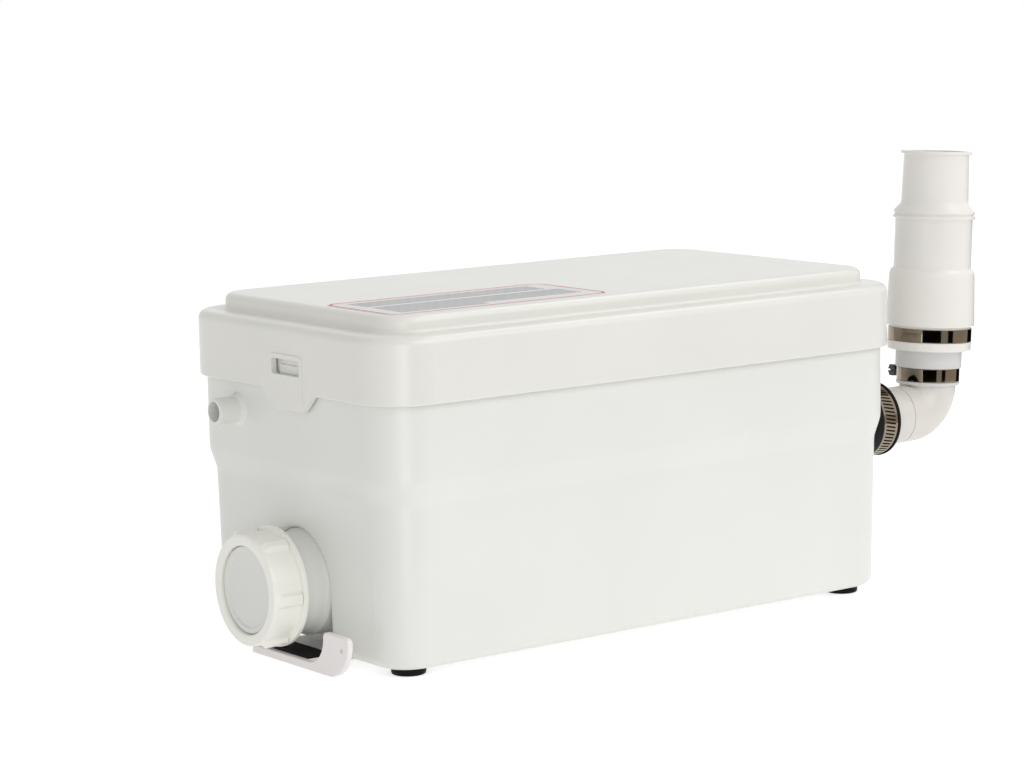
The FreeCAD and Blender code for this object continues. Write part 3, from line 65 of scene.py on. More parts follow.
# Softboxes: name, place, the point that it faces, width and height, power in watts, and whether reflections
# show it
softboxes = (
    ("key", (0.9, -2.2, 1.7), (0.05, 0, 0.08), (1.8, 1.4), 20, True),
    ("edge", (0.94, -0.22, 1.41), (0, 0, 0.1), (0.5, 0.5), 3.2, True),
    ("fill", (-1.2, -1.6, 0.30), (-0.16, 0, 0.03), (0.9, 0.4), 3.8, False),
)

# Reflector cards stand in one arc round the riser. Each ends at the bearing of its row, and starts where
# the card before it ends. Bearings are in degrees, 0 towards the camera and rising to the camera's right.
card_distance = 0.45
card_low = 0.001
card_high = 0.17
card_step = 2.0
card_black = (0.004, 0.004, 0.004)
card_grey = (0.50, 0.50, 0.49)
card_bright = (2.6, 2.6, 2.5)
card_brown = (0.60, 0.56, 0.50)
first_bearing = -27.0
reflector_cards = (
    ("bright_card", -19.0, card_bright),
    ("front_card", 32.0, card_black),
    ("grey_card", 51.0, card_grey),
    ("gap_card", 67.0, card_black),
    ("brown_card", 126.0, card_brown),
    ("side_card", 176.0, card_black),
)

# Noise patterns: scale per metre, detail and roughness
melt_flow = (14, 3.0, 0.5)
dull_patches = (45, 4.0, 0.6)
slow_ripple = (60, 2.0, 0.5)
fine_grain = (900, 2.0, 0.5)
coarse_grain = (350, 2.0, 0.5)
drawn_grain = (700, 3.0, 0.6)
smudges = (90, 3.0, 0.5)
noise_low = 0.3
noise_high = 0.7

# Moulded surfaces: colour as it looks on a screen, roughness, and what differs from the usual shade and
# grain. A grain's height is in mm, and its ripple stands ripple_share times as high.
duller_by = 0.04
shinier_by = 0.02
ripple_share = 2.5
coat_roughness = 0.12
plastic_ior = 1.48
moulded_looks = {
    "lid_plastic": dict(colour=(238, 237, 231), roughness=0.33, grain=0.003, coat=0.25),
    "tank_plastic": dict(colour=(238, 239, 234), roughness=0.34),
    "fitting_plastic": dict(colour=(245, 242, 237), roughness=0.32, coat=0.15),
    # The nut's plastic is a lighter copy of the fitting plastic: partly the nut's own colour, partly a
    # painted highlight on its side.
    "nut_plastic_with_painted_highlight": dict(colour=(252, 251, 243), roughness=0.32, coat=0.3),
    "disc_plastic": dict(colour=(233, 234, 229), roughness=0.34, grain=0.004),
    "bracket_plastic": dict(colour=(248, 243, 242), roughness=0.32),
    "elbow_plastic": dict(colour=(228, 224, 217), roughness=0.32),
    # The pale rubber is turned darker, partly the rubber's own grey and partly painted shade from the
    # adaptor's skirt above the coupling.
    "pale_rubber": dict(colour=(222, 221, 220), roughness=0.36, shade=0.05, grain=0.03),
    "black_rubber": dict(colour=(11, 11, 12), roughness=0.55, shade=0.2, grain=0.05, specular=0.15),
    "pump_plastic": dict(colour=(52, 54, 57), roughness=0.42, shade=0.1, grain=0.04),
    "box_plastic": dict(colour=(196, 199, 198), roughness=0.4),
    "capacitor_can": dict(colour=(222, 221, 214), roughness=0.33),
    "board_green": dict(colour=(34, 98, 58), roughness=0.35),
    "active_carbon": dict(colour=(26, 26, 27), roughness=0.9, shade=0.4, grain=0.6, pattern=coarse_grain),
    "gland_plastic": dict(colour=(34, 34, 36), roughness=0.38),
}
label_look = dict(colour=(236, 236, 234), roughness=0.4, grain=0.002)
rule_colour = (112, 116, 118)
keyline_colour = (196, 40, 54)

# Metals: colour as it looks on a screen, roughness, and the grain's height in mm. Smudges are darker, and
# the roughness runs from shinier_share to duller_share times its value.
smudge_shade = 0.86
shinier_share = 0.8
duller_share = 1.3
metal_looks = {
    "clamp_steel": dict(colour=(146, 134, 118), roughness=0.07, grain=0.002),
    "screw_steel": dict(colour=(74, 72, 70), roughness=0.2, grain=0.01),
    "copper_winding": dict(colour=(196, 108, 62), roughness=0.38, grain=0.05),
    "motor_can": dict(colour=(120, 123, 126), roughness=0.38, grain=0.02),
}

# Turned pieces: each outline is a closed loop of corners, as radius, place along the axis, and rounding
turned_steps = 288
corner_steps = 5
longest_cut = 0.49
merge_distance = 0.002
sharp_angle = math.radians(38)

# Inlet, with places along X
inlet_z = 33.2
nut_mouth_radius = 20.0
nut_bore_radius = 22.7
nut_radius = 25.1
nut_flange_radius = 27.2
nut_front = -172.7
nut_lip_rear = -170.0
nut_rib_full = -169.1
nut_flange_front = -158.5
nut_rear = -155.9
nut_front_rounding = 2.2
nut_outline = (
    (nut_mouth_radius, nut_front, 0.8),
    (nut_radius, nut_front, nut_front_rounding),
    (nut_radius, nut_lip_rear, 0),
    (nut_radius, nut_rib_full, 0),
    (nut_radius, nut_flange_front, 0.5),
    (nut_flange_radius, nut_flange_front, 0.6),
    (nut_flange_radius, nut_rear, 0.6),
    (nut_bore_radius, nut_rear, 0.3),
    (nut_bore_radius, nut_lip_rear, 0.2),
    (nut_mouth_radius, nut_lip_rear, 0.2),
)
rib_count = 6
rib_height = 1.9
rib_half_angle = 7.4
rib_flank_angle = 3.2
rib_first_angle = 33.5
rib_rise = 1.2

disc_radius = 22.2
disc_field_radius = 16.9
disc_ring_inner_radius = 17.2
disc_ring_outer_radius = 19.5
disc_ring_front = -171.1
disc_field_front = -170.2
disc_gap = 0.1
disc_shoulder = nut_lip_rear + disc_gap
disc_rear = -166.4
disc_outline = (
    (0, disc_field_front, 0),
    (disc_field_radius, disc_field_front, 0.4),
    (disc_ring_inner_radius, disc_ring_front, 0.5),
    (disc_ring_outer_radius, disc_ring_front, 0.5),
    (disc_ring_outer_radius, disc_shoulder, 0.1),
    (disc_radius, disc_shoulder, 0.2),
    (disc_radius, disc_rear, 0.2),
    (0, disc_rear, 0),
)

collar_inner_radius = 22.2
collar_radius = 24.35
collar_neck_radius = 23.0
collar_lip_radius = 22.35
collar_lip_front = -150.0
collar_neck_front = -144.6
collar_front = -142.2
collar_rear = -130.0
collar_outline = (
    (collar_inner_radius, collar_rear, 0),
    (collar_radius, collar_rear, 0),
    (collar_radius, collar_front, 0.2),
    (collar_neck_radius, collar_neck_front, 1.5),
    (collar_lip_radius, collar_lip_front, 0),
    (collar_inner_radius, collar_lip_front, 0),
)

# Outlet, with places along X
outlet_y = -45.0
outlet_z = 79.0
sleeve_clamp_x = 160.8
sleeve_clamp_bearing = 90.0
sleeve_seat_half = 4.6
sleeve_bore_radius = 14.1
sleeve_radius = 17.2
sleeve_rim_radius = 18.4
sleeve_start = 148.8
sleeve_end = 167.3
sleeve_outline = (
    (sleeve_bore_radius, sleeve_start, 0.2),
    (sleeve_rim_radius, sleeve_start, 0.8),
    (sleeve_rim_radius, sleeve_clamp_x - sleeve_seat_half, 0.6),
    (sleeve_radius, sleeve_clamp_x - sleeve_seat_half, 0.1),
    (sleeve_radius, sleeve_clamp_x + sleeve_seat_half, 0.1),
    (sleeve_rim_radius, sleeve_clamp_x + sleeve_seat_half, 0.6),
    (sleeve_rim_radius, sleeve_end, 0.8),
    (sleeve_bore_radius, sleeve_end, 0.3),
)

# Riser, with places along its leaning axis, counted from the coupling's foot
riser_x = 202.0
riser_lean = math.radians(3.2)
coupling_lift = 13.628
coupling_bore_radius = 14.05
coupling_groove_radius = 14.9
coupling_foot_radius = 15.7
coupling_radius = 16.4
coupling_groove_start = 1.7
coupling_groove_end = 8.6
coupling_top = 47.4
coupling_outline = (
    (coupling_bore_radius, 0, 0.3),
    (coupling_foot_radius, 0, 0.5),
    (coupling_foot_radius, coupling_groove_start, 0.5),
    (coupling_groove_radius, coupling_groove_start, 0.2),
    (coupling_groove_radius, coupling_groove_end, 0.2),
    (coupling_radius, coupling_groove_end, 0.6),
    (coupling_radius, coupling_top, 0.3),
    (coupling_bore_radius, coupling_top, 0.3),
)

# Adaptor: a skirt with the upper clamp's groove, a bell, a barrel, two steps and a tapered spout
seat_gap = 0.05
seat_radius = coupling_radius + seat_gap
seat_top = coupling_top + seat_gap
skirt_start = 17.4
skirt_radius = 20.7
adaptor_groove_radius = 20.05
adaptor_groove_start = 21.8
adaptor_groove_end = 29.6
bell_radius = 22.0
bell_top_radius = 21.2
bell_top = 54.0
bell_neck = 56.872
barrel_radius = 19.1
barrel_bore_radius = 16.8
barrel_start = 58.1
barrel_top = 82.7
step_radius = 20.3
step_top = 84.3
step_groove_radius = 19.4
step_groove_top = 85.3
step_rim_radius = 20.0
step_rim_top = 86.5
spout_bore_radius = 14.25
spout_foot_radius = 16.6
spout_foot = 90.2
spout_radius = 16.0
spout_rim_radius = 17.5
spout_rim_start = 114.7
spout_rim_top = 116.1
adaptor_outline = (
    (seat_radius, skirt_start, 0.4),
    (skirt_radius, skirt_start, 0.8),
    (skirt_radius, adaptor_groove_start, 0.5),
    (adaptor_groove_radius, adaptor_groove_start, 0.1),
    (adaptor_groove_radius, adaptor_groove_end, 0.1),
    (bell_radius, adaptor_groove_end, 0.8),
    (bell_top_radius, bell_top, 3.0),
    (skirt_radius, bell_neck, 1.4),
    (barrel_radius, barrel_start, 0.5),
    (barrel_radius, barrel_top, 0.3),
    (step_radius, barrel_top, 0.7),
    (step_radius, step_top, 0.4),
    (step_groove_radius, step_top, 0.2),
    (step_groove_radius, step_groove_top, 0.2),
    (step_rim_radius, step_groove_top, 0.3),
    (step_rim_radius, step_rim_top, 0.5),
    (spout_foot_radius, spout_foot, 1.4),
    (spout_radius, spout_rim_start, 0.5),
    (spout_rim_radius, spout_rim_start, 0.4),
    (spout_rim_radius, spout_rim_top, 0.5),
    (spout_bore_radius, spout_rim_top, 0.4),
    (spout_bore_radius, spout_foot, 0.4),
    (barrel_bore_radius, barrel_top, 0.4),
    (barrel_bore_radius, seat_top, 0.1),
    (seat_radius, seat_top, 0.1),
)

# Clamps: each ring's axis is local Z, and its housing stands at local X, turned by the clamp's bearing in
# degrees
band_thickness = 0.7
band_width = 6.6
band_inner_rounding = 0.1
band_outer_rounding = 0.25
sleeve_band_width = 9.0
upper_clamp_place = 25.25
upper_clamp_bearing = 54.0
lower_clamp_place = (coupling_groove_start + coupling_groove_end) / 2
lower_clamp_bearing = 82.0
housing_half_width = 3.3
housing_half_length = 4.5
housing_bevel = 0.5
housing_squareness = 6.0
housing_steps = 48
tunnel_radius = 2.5
slot_count = 60
slot_slant = math.tan(math.radians(12.0))
slot_half_width = 0.44
slot_half_length = 3.2
slot_squareness = 0.5
slot_side_steps = 4

# Feet, with places above the floor
foot_x = 128.0
foot_y = 62.0
foot_radius = 8.0
foot_tread_radius = 7.6
foot_dish_rim_radius = 2.9
foot_dish_radius = 2.6
foot_dish_depth = 1.2
foot_height = 3.7
foot_stem_radius = 3.0
foot_stem_top = 7.7
foot_outline = (
    (0, foot_dish_depth, 0),
    (foot_dish_radius, foot_dish_depth, 0.3),
    (foot_dish_rim_radius, 0, 0.4),
    (foot_tread_radius, 0, 0.9),
    (foot_radius, foot_height, 0.6),
    (foot_stem_radius, foot_height, 0.1),
    (foot_stem_radius, foot_stem_top, 0.3),
    (0, foot_stem_top, 0),
)

# Label print: a keyline near the edge, and plain rules in blocks. Each block is given by its lowest and
# highest place across the label and then along it, counted from the label's middle.
label_x = -75.5
label_y = -39.75
label_length = 120.0
label_width = 55.5
label_corner = 7.0
keyline_inset = 0.5
keyline_width = 1.5
rule_pitch = 3.1
rule_share = 0.52
rule_blocks = (
    (5.5, 22.0, -51.0, 48.0),
    (-15.6, 3.2, -51.0, 52.0),
    (-21.2, -15.6, -51.0, -4.0),
)


# Node helpers
def srgb(colour):
    """A colour given in 0 to 255 as it looks on a screen, as linear values by the sRGB formula."""
    linear = []
    for value in colour:
        share = value / 255
        linear.append(share / 12.92 if share <= 0.04045 else ((share + 0.055) / 1.055) ** 2.4)
    return (*linear, 1.0)


def darkened(colour, share):
    """A linear colour with its red, green and blue turned down to a share."""
    red, green, blue, _ = colour
    return (red * share, green * share, blue * share, 1.0)


class Graph:
    """A material's node tree with one principled shader."""

    def __init__(self, name):
        self.material = bpy.data.materials.new(name)
        self.material.use_nodes = True
        self.tree = self.material.node_tree
        self.tree.nodes.clear()
        output = self.tree.nodes.new("ShaderNodeOutputMaterial")
        self.shader = self.tree.nodes.new("ShaderNodeBsdfPrincipled")
        self.tree.links.new(self.shader.outputs["BSDF"], output.inputs["Surface"])
        self.place = self.tree.nodes.new("ShaderNodeTexCoord").outputs["Object"]

    def put(self, socket, value):
        """Links a socket to a node's output, or sets it to a plain value."""
        if isinstance(value, bpy.types.NodeSocket):
            self.tree.links.new(value, socket)
        else:
            socket.default_value = value

    def shade(self, **values):
        """Puts values on the shader's inputs, whose names have _ for each space."""
        for name, value in values.items():
            self.put(self.shader.inputs[name.replace("_", " ")], value)

    def noise(self, pattern):
        node = self.tree.nodes.new("ShaderNodeTexNoise")
        self.put(node.inputs["Vector"], self.place)
        for name, value in zip(("Scale", "Detail", "Roughness"), pattern):
            self.put(node.inputs[name], value)
        return node.outputs["Fac"]

    def calculate(self, operation, *values):
        node = self.tree.nodes.new("ShaderNodeMath")
        node.operation = operation
        for socket, value in zip(node.inputs, values):
            self.put(socket, value)
        return node.outputs[0]

    def spread(self, noise, low, high):
        """Noise drawn out to run from low to high."""
        node = self.tree.nodes.new("ShaderNodeMapRange")
        self.put(node.inputs["Value"], noise)
        self.put(node.inputs["From Min"], noise_low)
        self.put(node.inputs["From Max"], noise_high)
        self.put(node.inputs["To Min"], low)
        self.put(node.inputs["To Max"], high)
        return node.outputs["Result"]

    def mix(self, share, first, second):
        node = self.tree.nodes.new("ShaderNodeMix")
        node.data_type = "RGBA"
        self.put(node.inputs["Factor"], share)
        self.put(node.inputs["A"], first)
        self.put(node.inputs["B"], second)
        return next(socket for socket in node.outputs if socket.type == "RGBA")

    def bump(self, height, distance):
        node = self.tree.nodes.new("ShaderNodeBump")
        self.put(node.inputs["Height"], height)
        self.put(node.inputs["Distance"], distance)
        self.put(self.shader.inputs["Normal"], node.outputs["Normal"])

    def coordinates(self):
        node = self.tree.nodes.new("ShaderNodeSeparateXYZ")
        self.put(node.inputs[0], self.place)
        return node.outputs


# Materials
def moulded(name, colour, roughness, shade=0.03, grain=0.02, pattern=fine_grain, coat=0.0, specular=0.5):
    """Moulded plastic or rubber: slow shifts of shade from the melt's flow, and a fine eggshell grain."""
    graph = Graph(name)
    full = srgb(colour)
    melt = graph.spread(graph.noise(melt_flow), 0, 1)
    graph.shade(
        Base_Color=graph.mix(melt, darkened(full, 1 - shade), full),
        Roughness=graph.spread(graph.noise(dull_patches), roughness - shinier_by, roughness + duller_by),
        Coat_Weight=coat,
        Coat_Roughness=coat_roughness,
        IOR=plastic_ior,
        Specular_IOR_Level=specular,
    )
    ripple = graph.calculate("MULTIPLY", graph.noise(slow_ripple), ripple_share)
    graph.bump(graph.calculate("ADD", graph.noise(pattern), ripple), grain * mm)
    return graph


def metal(name, colour, roughness, grain):
    """Metal with a fine grain and faint smudges."""
    graph = Graph(name)
    full = srgb(colour)
    smudge = graph.noise(smudges)
    graph.shade(
        Base_Color=graph.mix(graph.spread(smudge, 0, 1), darkened(full, smudge_shade), full),
        Roughness=graph.spread(smudge, roughness * shinier_share, roughness * duller_share),
        Metallic=1.0,
    )
    graph.bump(graph.noise(drawn_grain), grain * mm)
    return graph


def printed_label(name):
    """White film with a thin red keyline near its edge and plain grey rules in blocks."""
    graph = moulded(name, **label_look)
    film = graph.shader.inputs["Base Color"].links[0].from_socket
    x, y, _ = graph.coordinates()
    along = graph.calculate("SUBTRACT", x, label_x * mm)
    across = graph.calculate("SUBTRACT", y, label_y * mm)

    squares = []
    for offset, size in ((along, label_length), (across, label_width)):
        straight_half = (size / 2 - label_corner) * mm
        beyond = graph.calculate("SUBTRACT", graph.calculate("ABSOLUTE", offset), straight_half)
        run = graph.calculate("MAXIMUM", beyond, 0.0)
        squares.append(graph.calculate("MULTIPLY", run, run))
    corner_distance = graph.calculate("SQRT", graph.calculate("ADD", *squares))
    inset = graph.calculate("SUBTRACT", label_corner * mm, corner_distance)
    keyline = graph.calculate(
        "COMPARE", inset, (keyline_inset + keyline_width / 2) * mm, keyline_width / 2 * mm)

    shown = 0.0
    for low_across, high_across, low_along, high_along in rule_blocks:
        within_across = graph.calculate(
            "COMPARE", across, (low_across + high_across) / 2 * mm, (high_across - low_across) / 2 * mm)
        within_along = graph.calculate(
            "COMPARE", along, (low_along + high_along) / 2 * mm, (high_along - low_along) / 2 * mm)
        block = graph.calculate("MULTIPLY", within_along, within_across)
        shown = graph.calculate("MAXIMUM", shown, block)
    lines = graph.calculate("DIVIDE", graph.calculate("ADD", across, label_width * mm), rule_pitch * mm)
    rules = graph.calculate("LESS_THAN", graph.calculate("FRACT", lines), rule_share)
    ink = graph.calculate("MULTIPLY", rules, shown)

    with_rules = graph.mix(ink, film, srgb(rule_colour))
    graph.shade(Base_Color=graph.mix(keyline, with_rules, srgb(keyline_colour)))
    return graph


def all_materials():
    """Every material by its name. Most names are also those of the frame's material slots."""
    graphs = {name: moulded(name, **look) for name, look in moulded_looks.items()}
    graphs.update({name: metal(name, **look) for name, look in metal_looks.items()})
    graphs["label_film"] = printed_label("label_film")
    return {name: graph.material for name, graph in graphs.items()}


def dress(nodes):
    """Gives the CAD nodes the materials that their slots are named after."""
    for node in nodes:
        for slot in node.material_slots:
            name = slot.material.name.split(".")[0] if slot.material else "tank_plastic"
            if name in materials:
                slot.material = materials[name]


# Studio
def added(name, data):
    """A new object in the scene that shows data."""
    thing = bpy.data.objects.new(name, data)
    bpy.context.scene.collection.objects.link(thing)
    return thing


def camera():
    data = bpy.data.cameras.new("camera")
    data.sensor_width = sensor_width
    data.lens = focal_pixels * sensor_width / photo_width
    data.clip_start = near_clip
    data.clip_end = far_clip
    thing = added("camera", data)
    forward = Vector((math.sin(camera_yaw) * math.cos(camera_pitch),
                      math.cos(camera_yaw) * math.cos(camera_pitch), math.sin(camera_pitch)))
    level = Vector((math.cos(camera_yaw), -math.sin(camera_yaw), 0))
    upright = level.cross(forward)
    right = math.cos(camera_roll) * level + math.sin(camera_roll) * upright
    up = math.cos(camera_roll) * upright - math.sin(camera_roll) * level
    turn = Matrix((right, up, -forward)).transposed()
    thing.matrix_world = Matrix.Translation(camera_place) @ turn.to_4x4()
    bpy.context.scene.camera = thing


def looks_or_gives(tree, looks, gives):
    """The strength looks for rays that show the background, straight from the camera, mirrored or through
    glass, and the strength gives for all other rays, which light the object."""
    path = tree.nodes.new("ShaderNodeLightPath")
    total = path.outputs["Is Camera Ray"]
    for name in ("Is Glossy Ray", "Is Transmission Ray"):
        add = tree.nodes.new("ShaderNodeMath")
        add.operation = "ADD"
        add.use_clamp = True
        tree.links.new(total, add.inputs[0])
        tree.links.new(path.outputs[name], add.inputs[1])
        total = add.outputs[0]
    level = tree.nodes.new("ShaderNodeMapRange")
    tree.links.new(total, level.inputs["Value"])
    level.inputs["To Min"].default_value = gives
    level.inputs["To Max"].default_value = looks
    return level.outputs["Result"]


def backdrop():
    world = bpy.data.worlds.new("studio")
    bpy.context.scene.world = world
    world.use_nodes = True
    tree = world.node_tree
    background = tree.nodes["Background"]
    background.inputs["Color"].default_value = (1, 1, 1, 1)
    tree.links.new(looks_or_gives(tree, backdrop_looks, backdrop_gives), background.inputs["Strength"])


def studio_piece(name, corners, faces, graph):
    """A mesh that belongs to the studio and is no part of the object."""
    mesh = bpy.data.meshes.new(name)
    mesh.from_pydata(corners, [], faces)
    mesh.materials.append(graph.material)
    thing = added(name, mesh)
    return thing


def floor():
    graph = Graph("floor_white")
    graph.shade(
        Base_Color=(floor_white, floor_white, floor_white, 1),
        Roughness=floor_roughness,
        Specular_IOR_Level=floor_specular,
        Emission_Color=(1, 1, 1, 1),
        Emission_Strength=looks_or_gives(graph.tree, floor_looks, floor_gives),
    )
    half = floor_size / 2
    corners = [(-half, -half, 0), (half, -half, 0), (half, half, 0), (-half, half, 0)]
    studio_piece("floor", corners, [(0, 1, 2, 3)], graph)


def softbox(name, place, target, size, power, in_reflections):
    data = bpy.data.lights.new(name, "AREA")
    data.shape = "RECTANGLE"
    data.size, data.size_y = size
    data.energy = power
    thing = added(name, data)
    direction = (Vector(target) - Vector(place)).normalized()
    turn = direction.to_track_quat("-Z", "Y").to_matrix().to_4x4()
    thing.matrix_world = Matrix.Translation(Vector(place)) @ turn
    thing.visible_glossy = in_reflections


def reflector_card(name, start_bearing, end_bearing, colour):
    """An arc of card round the riser that only mirrored rays meet."""
    centre = Vector((riser_x, outlet_y, 0)) * mm
    towards = camera_place - centre
    ahead = math.atan2(towards.y, towards.x)
    span = end_bearing - start_bearing
    steps = round(span / card_step)
    corners = []
    for step in range(steps + 1):
        angle = ahead + math.radians(start_bearing + span * step / steps)
        foot = centre + Vector((math.cos(angle), math.sin(angle), 0)) * card_distance
        corners.append((foot.x, foot.y, card_low))
        corners.append((foot.x, foot.y, card_high))
    faces = [(2 * k, 2 * k + 2, 2 * k + 3, 2 * k + 1) for k in range(steps)]
    graph = Graph(name)
    graph.shade(
        Base_Color=(0, 0, 0, 1),
        Specular_IOR_Level=0,
        Emission_Color=(*colour, 1),
        Emission_Strength=1.0,
    )
    thing = studio_piece(name, corners, faces, graph)
    thing.visible_camera = False
    thing.visible_diffuse = False
    thing.visible_transmission = False
    thing.visible_shadow = False


def studio():
    camera()
    backdrop()
    floor()
    for row in softboxes:
        softbox(*row)
    start = first_bearing
    for name, end, colour in reflector_cards:
        reflector_card(name, start, end, colour)
        start = end


# Shapes
def rounded_profile(corners):
    """The closed outline through corners, with each corner rounded as far as its neighbours leave room."""
    points = []
    for index, (radius, height, rounding) in enumerate(corners):
        here = Vector((radius, height))
        before = Vector(corners[index - 1][:2]) - here
        after = Vector(corners[(index + 1) % len(corners)][:2]) - here
        cut = min(rounding, longest_cut * before.length, longest_cut * after.length)
        if cut == 0:
            points.append(here)
            continue
        start = here + before.normalized() * cut
        end = here + after.normalized() * cut
        for step in range(corner_steps + 1):
            share = step / corner_steps
            points.append(start.lerp(here, share).lerp(here.lerp(end, share), share))
    return points


def cleaned(shape):
    """Merges points that meet, drops what has no area, and turns the faces outwards."""
    bmesh.ops.remove_doubles(shape, verts=shape.verts, dist=merge_distance)
    bmesh.ops.dissolve_degenerate(shape, dist=merge_distance, edges=shape.edges)
    wires = [edge for edge in shape.edges if not edge.link_faces]
    bmesh.ops.delete(shape, geom=wires, context="EDGES")
    bmesh.ops.recalc_face_normals(shape, faces=shape.faces)
    return shape


def closed_rings(shape, rings):
    """Joins rings of as many points into a closed skin, the last ring to the first."""
    made = [[shape.verts.new(point) for point in ring] for ring in rings]
    for ring, following in zip(made, made[1:] + made[:1]):
        for index in range(len(ring)):
            shape.faces.new((ring[index - 1], ring[index], following[index], following[index - 1]))


def turned(corners, bulge=None, centre=(0, 0)):
    """An outline turned about the upright axis through centre. bulge(angle, radius, height) says how far a
    point stands further out."""
    outline = rounded_profile(corners)
    shape = bmesh.new()
    rings = []
    for step in range(turned_steps):
        angle = 2 * math.pi * step / turned_steps
        ring = []
        for radius, height in outline:
            reach = radius + (bulge(angle, radius, height) if bulge else 0)
            ring.append((centre[0] + reach * math.cos(angle), centre[1] + reach * math.sin(angle), height))
        rings.append(ring)
    closed_rings(shape, rings)
    return cleaned(shape)


def smooth_step(value):
    value = min(1.0, max(0.0, value))
    return value * value * (3 - 2 * value)


def nut_rib(angle, radius, height):
    """How far the soft ribs lift the nut's side at a point."""
    if abs(radius - nut_radius) > merge_distance or height > nut_flange_front:
        return 0.0
    pitch = 360 / rib_count
    off = abs((math.degrees(angle) - rib_first_angle + pitch / 2) % pitch - pitch / 2)
    across = smooth_step((rib_half_angle - off) / rib_flank_angle)
    along = smooth_step((height - nut_front - nut_front_rounding) / rib_rise)
    return rib_height * across * along


def plain_band(inner_radius, width):
    outer_radius = inner_radius + band_thickness
    return turned([
        (inner_radius, -width / 2, band_inner_rounding),
        (outer_radius, -width / 2, band_outer_rounding),
        (outer_radius, width / 2, band_outer_rounding),
        (inner_radius, width / 2, band_inner_rounding),
    ])


def square_border(side_steps):
    """Points round the square from -1 to 1, with as many steps along each side."""
    corners = [(-1, -1), (1, -1), (1, 1), (-1, 1)]
    border = []
    for (a, b), (c, d) in zip(corners, corners[1:] + corners[:1]):
        for step in range(side_steps):
            share = step / side_steps
            border.append((a + (c - a) * share, b + (d - b) * share))
    return border


def slot_border(a, b):
    """The point of a slot's rounded outline that faces a point of the square border."""
    reach = math.hypot(a, b)
    return (math.copysign(abs(a / reach) ** slot_squareness, a),
            math.copysign(abs(b / reach) ** slot_squareness, b))


def slotted_band(inner_radius, width):
    """A band whose slanted slots are cut through, made cell by cell with one slot in each."""
    shape = bmesh.new()
    outer_radius = inner_radius + band_thickness
    half_pitch = math.pi * outer_radius / slot_count
    border = square_border(slot_side_steps)
    cut = [slot_border(a, b) for a, b in border]

    def wrapped(cell, points, half_width, half_length, radius):
        made = []
        for a, b in points:
            height = b * half_length
            angle = (cell * 2 * half_pitch + a * half_width + height * slot_slant) / outer_radius
            made.append(shape.verts.new((radius * math.cos(angle), radius * math.sin(angle), height)))
        return made

    for cell in range(slot_count):
        rim = wrapped(cell, border, half_pitch, width / 2, outer_radius)
        hole = wrapped(cell, cut, slot_half_width, slot_half_length, outer_radius)
        under_rim = wrapped(cell, border, half_pitch, width / 2, inner_radius)
        under_hole = wrapped(cell, cut, slot_half_width, slot_half_length, inner_radius)
        for k in range(len(border)):
            shape.faces.new((rim[k - 1], rim[k], hole[k], hole[k - 1]))
            shape.faces.new((under_rim[k], under_rim[k - 1], under_hole[k - 1], under_hole[k]))
            shape.faces.new((hole[k - 1], hole[k], under_hole[k], under_hole[k - 1]))
            on_edge = abs(border[k][1]) == 1 and border[k][1] == border[k - 1][1]
            if on_edge:
                shape.faces.new((rim[k], rim[k - 1], under_rim[k - 1], under_rim[k]))
    return cleaned(shape)


def add_housing(shape, inner_radius):
    """The worm's housing: a rounded block along local Y with the worm's tunnel through it."""
    axis_x = inner_radius + band_thickness + housing_half_width
    depth_to_band = housing_half_width + band_thickness / 2
    angles = [2 * math.pi * step / housing_steps for step in range(housing_steps)]

    def block_ring(inset, y):
        half_z = housing_half_width - inset
        ring = []
        for angle in angles:
            a, b = math.cos(angle), math.sin(angle)
            half_x = (housing_half_width if a > 0 else depth_to_band) - inset
            total = (abs(a) / half_x) ** housing_squareness + (abs(b) / half_z) ** housing_squareness
            reach = total ** (-1 / housing_squareness)
            ring.append((axis_x + reach * a, y, reach * b))
        return ring

    def tunnel_ring(y):
        return [(axis_x + tunnel_radius * math.cos(angle), y, tunnel_radius * math.sin(angle))
                for angle in angles]

    end = housing_half_length
    closed_rings(shape, [
        block_ring(housing_bevel, -end),
        block_ring(0, housing_bevel - end),
        block_ring(0, end - housing_bevel),
        block_ring(housing_bevel, end),
        tunnel_ring(end),
        tunnel_ring(-end),
    ])
    bmesh.ops.recalc_face_normals(shape, faces=shape.faces)


# Pieces
def piece(name, shape, place, body, slot, *nodes, finish=None):
    """Makes an object from a shape in mm, puts it at place, and lets it stand for the CAD nodes."""
    shape.transform(place @ Matrix.Scale(mm, 4))
    mesh = bpy.data.meshes.new(name)
    shape.to_mesh(mesh)
    shape.free()
    mesh.shade_smooth()
    mesh.set_sharp_from_angle(angle=sharp_angle)
    mesh.materials.append(materials[finish or slot])
    thing = added(name, mesh)
    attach(thing, body)
    if nodes:
        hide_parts(*nodes)


def axis_along_x(y, z):
    """The place of what turns about an axis along X."""
    return Matrix.Translation(Vector((0, y, z)) * mm) @ Matrix.Rotation(math.radians(90), 4, "Y")


def leaning_axis():
    """The place of what turns about the riser's axis, at the coupling's foot."""
    foot = Matrix.Translation(Vector((riser_x, outlet_y, outlet_z)) * mm)
    lean = Matrix.Rotation(riser_lean, 4, "Y")
    return foot @ lean @ Matrix.Translation((0, 0, coupling_lift * mm))


def inlet_pieces():
    """The ribbed nut, the disc with its raised ring, and the collar that closes the stub's alcove."""
    axis = axis_along_x(0, inlet_z)
    # The nut's finish is the lighter copy of the fitting plastic, partly a painted highlight.
    piece("ribbed_nut", turned(nut_outline, nut_rib), axis, "inlet_nut", "fitting_plastic", "inlet_nut",
          finish="nut_plastic_with_painted_highlight")
    piece("ringed_disc", turned(disc_outline), axis, "inlet_plug", "fitting_plastic", "blanking_disc",
          finish="disc_plastic")
    piece("stub_collar", turned(collar_outline), axis, "tank", "tank_plastic")


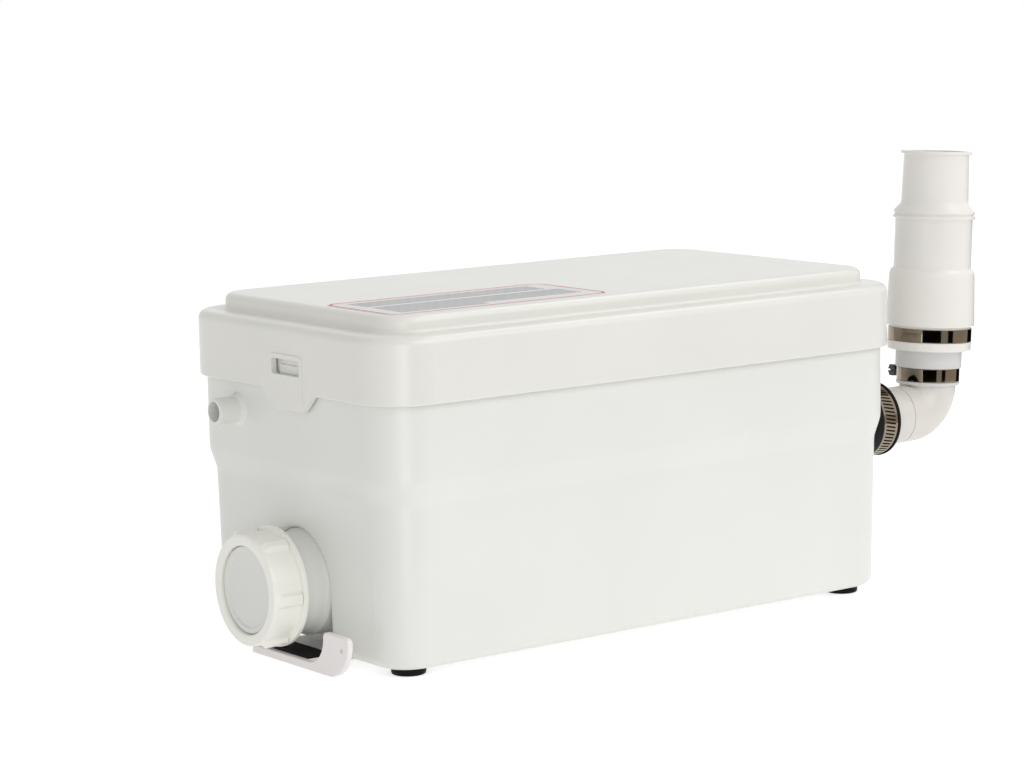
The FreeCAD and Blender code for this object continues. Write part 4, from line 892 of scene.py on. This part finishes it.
def outlet_sleeve():
    """The black sleeve on the outlet, with a rim on each side of its clamp's seat."""
    axis = axis_along_x(outlet_y, outlet_z)
    piece("black_sleeve", turned(sleeve_outline), axis, "tank", "black_rubber", "outlet_sleeve")


def riser_pieces():
    """The coupling on the elbow, and the adaptor on the coupling."""
    axis = leaning_axis()
    # The coupling's pale rubber is darkened partly by painted shade.
    piece("soft_coupling", turned(coupling_outline), axis, "discharge", "pale_rubber", "flexible_coupling")
    piece("hose_adaptor", turned(adaptor_outline), axis, "discharge", "fitting_plastic", "stepped_adaptor")


def clamp(name, band, inner_radius, seat, body, node):
    """A band with its worm's housing. seat is the place of its ring, with the axis and bearing."""
    add_housing(band, inner_radius)
    piece(name, band, seat, body, "clamp_steel", node)


def clamp_seat(axis, place, bearing):
    """The seat at a place along an axis, turned to a bearing."""
    return axis @ Matrix.Translation((0, 0, place * mm)) @ Matrix.Rotation(math.radians(bearing), 4, "Z")


def clamps():
    """Two plain bands on the riser, and the slotted band on the sleeve."""
    riser = leaning_axis()
    clamp("upper_band", plain_band(adaptor_groove_radius, band_width), adaptor_groove_radius,
          clamp_seat(riser, upper_clamp_place, upper_clamp_bearing), "discharge", "upper_clamp")
    clamp("lower_band", plain_band(coupling_groove_radius, band_width), coupling_groove_radius,
          clamp_seat(riser, lower_clamp_place, lower_clamp_bearing), "discharge", "lower_clamp")
    outlet = axis_along_x(outlet_y, outlet_z)
    clamp("slotted_band", slotted_band(sleeve_radius, sleeve_band_width), sleeve_radius,
          clamp_seat(outlet, sleeve_clamp_x, sleeve_clamp_bearing), "tank", "sleeve_clamp")


def dished_feet():
    """The four feet as one piece."""
    feet = bmesh.new()
    for x in (-foot_x, foot_x):
        for y in (-foot_y, foot_y):
            foot = turned(foot_outline, centre=(x, y))
            mesh = bpy.data.meshes.new("foot")
            foot.to_mesh(mesh)
            foot.free()
            feet.from_mesh(mesh)
            bpy.data.meshes.remove(mesh)
    piece("dished_feet", feet, Matrix.Identity(4), "tank", "black_rubber", "rubber_feet")


studio()
materials = all_materials()
dress(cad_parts.values())
inlet_pieces()
outlet_sleeve()
riser_pieces()
clamps()
dished_feet()

bpy.context.scene.view_settings.view_transform = "Standard"
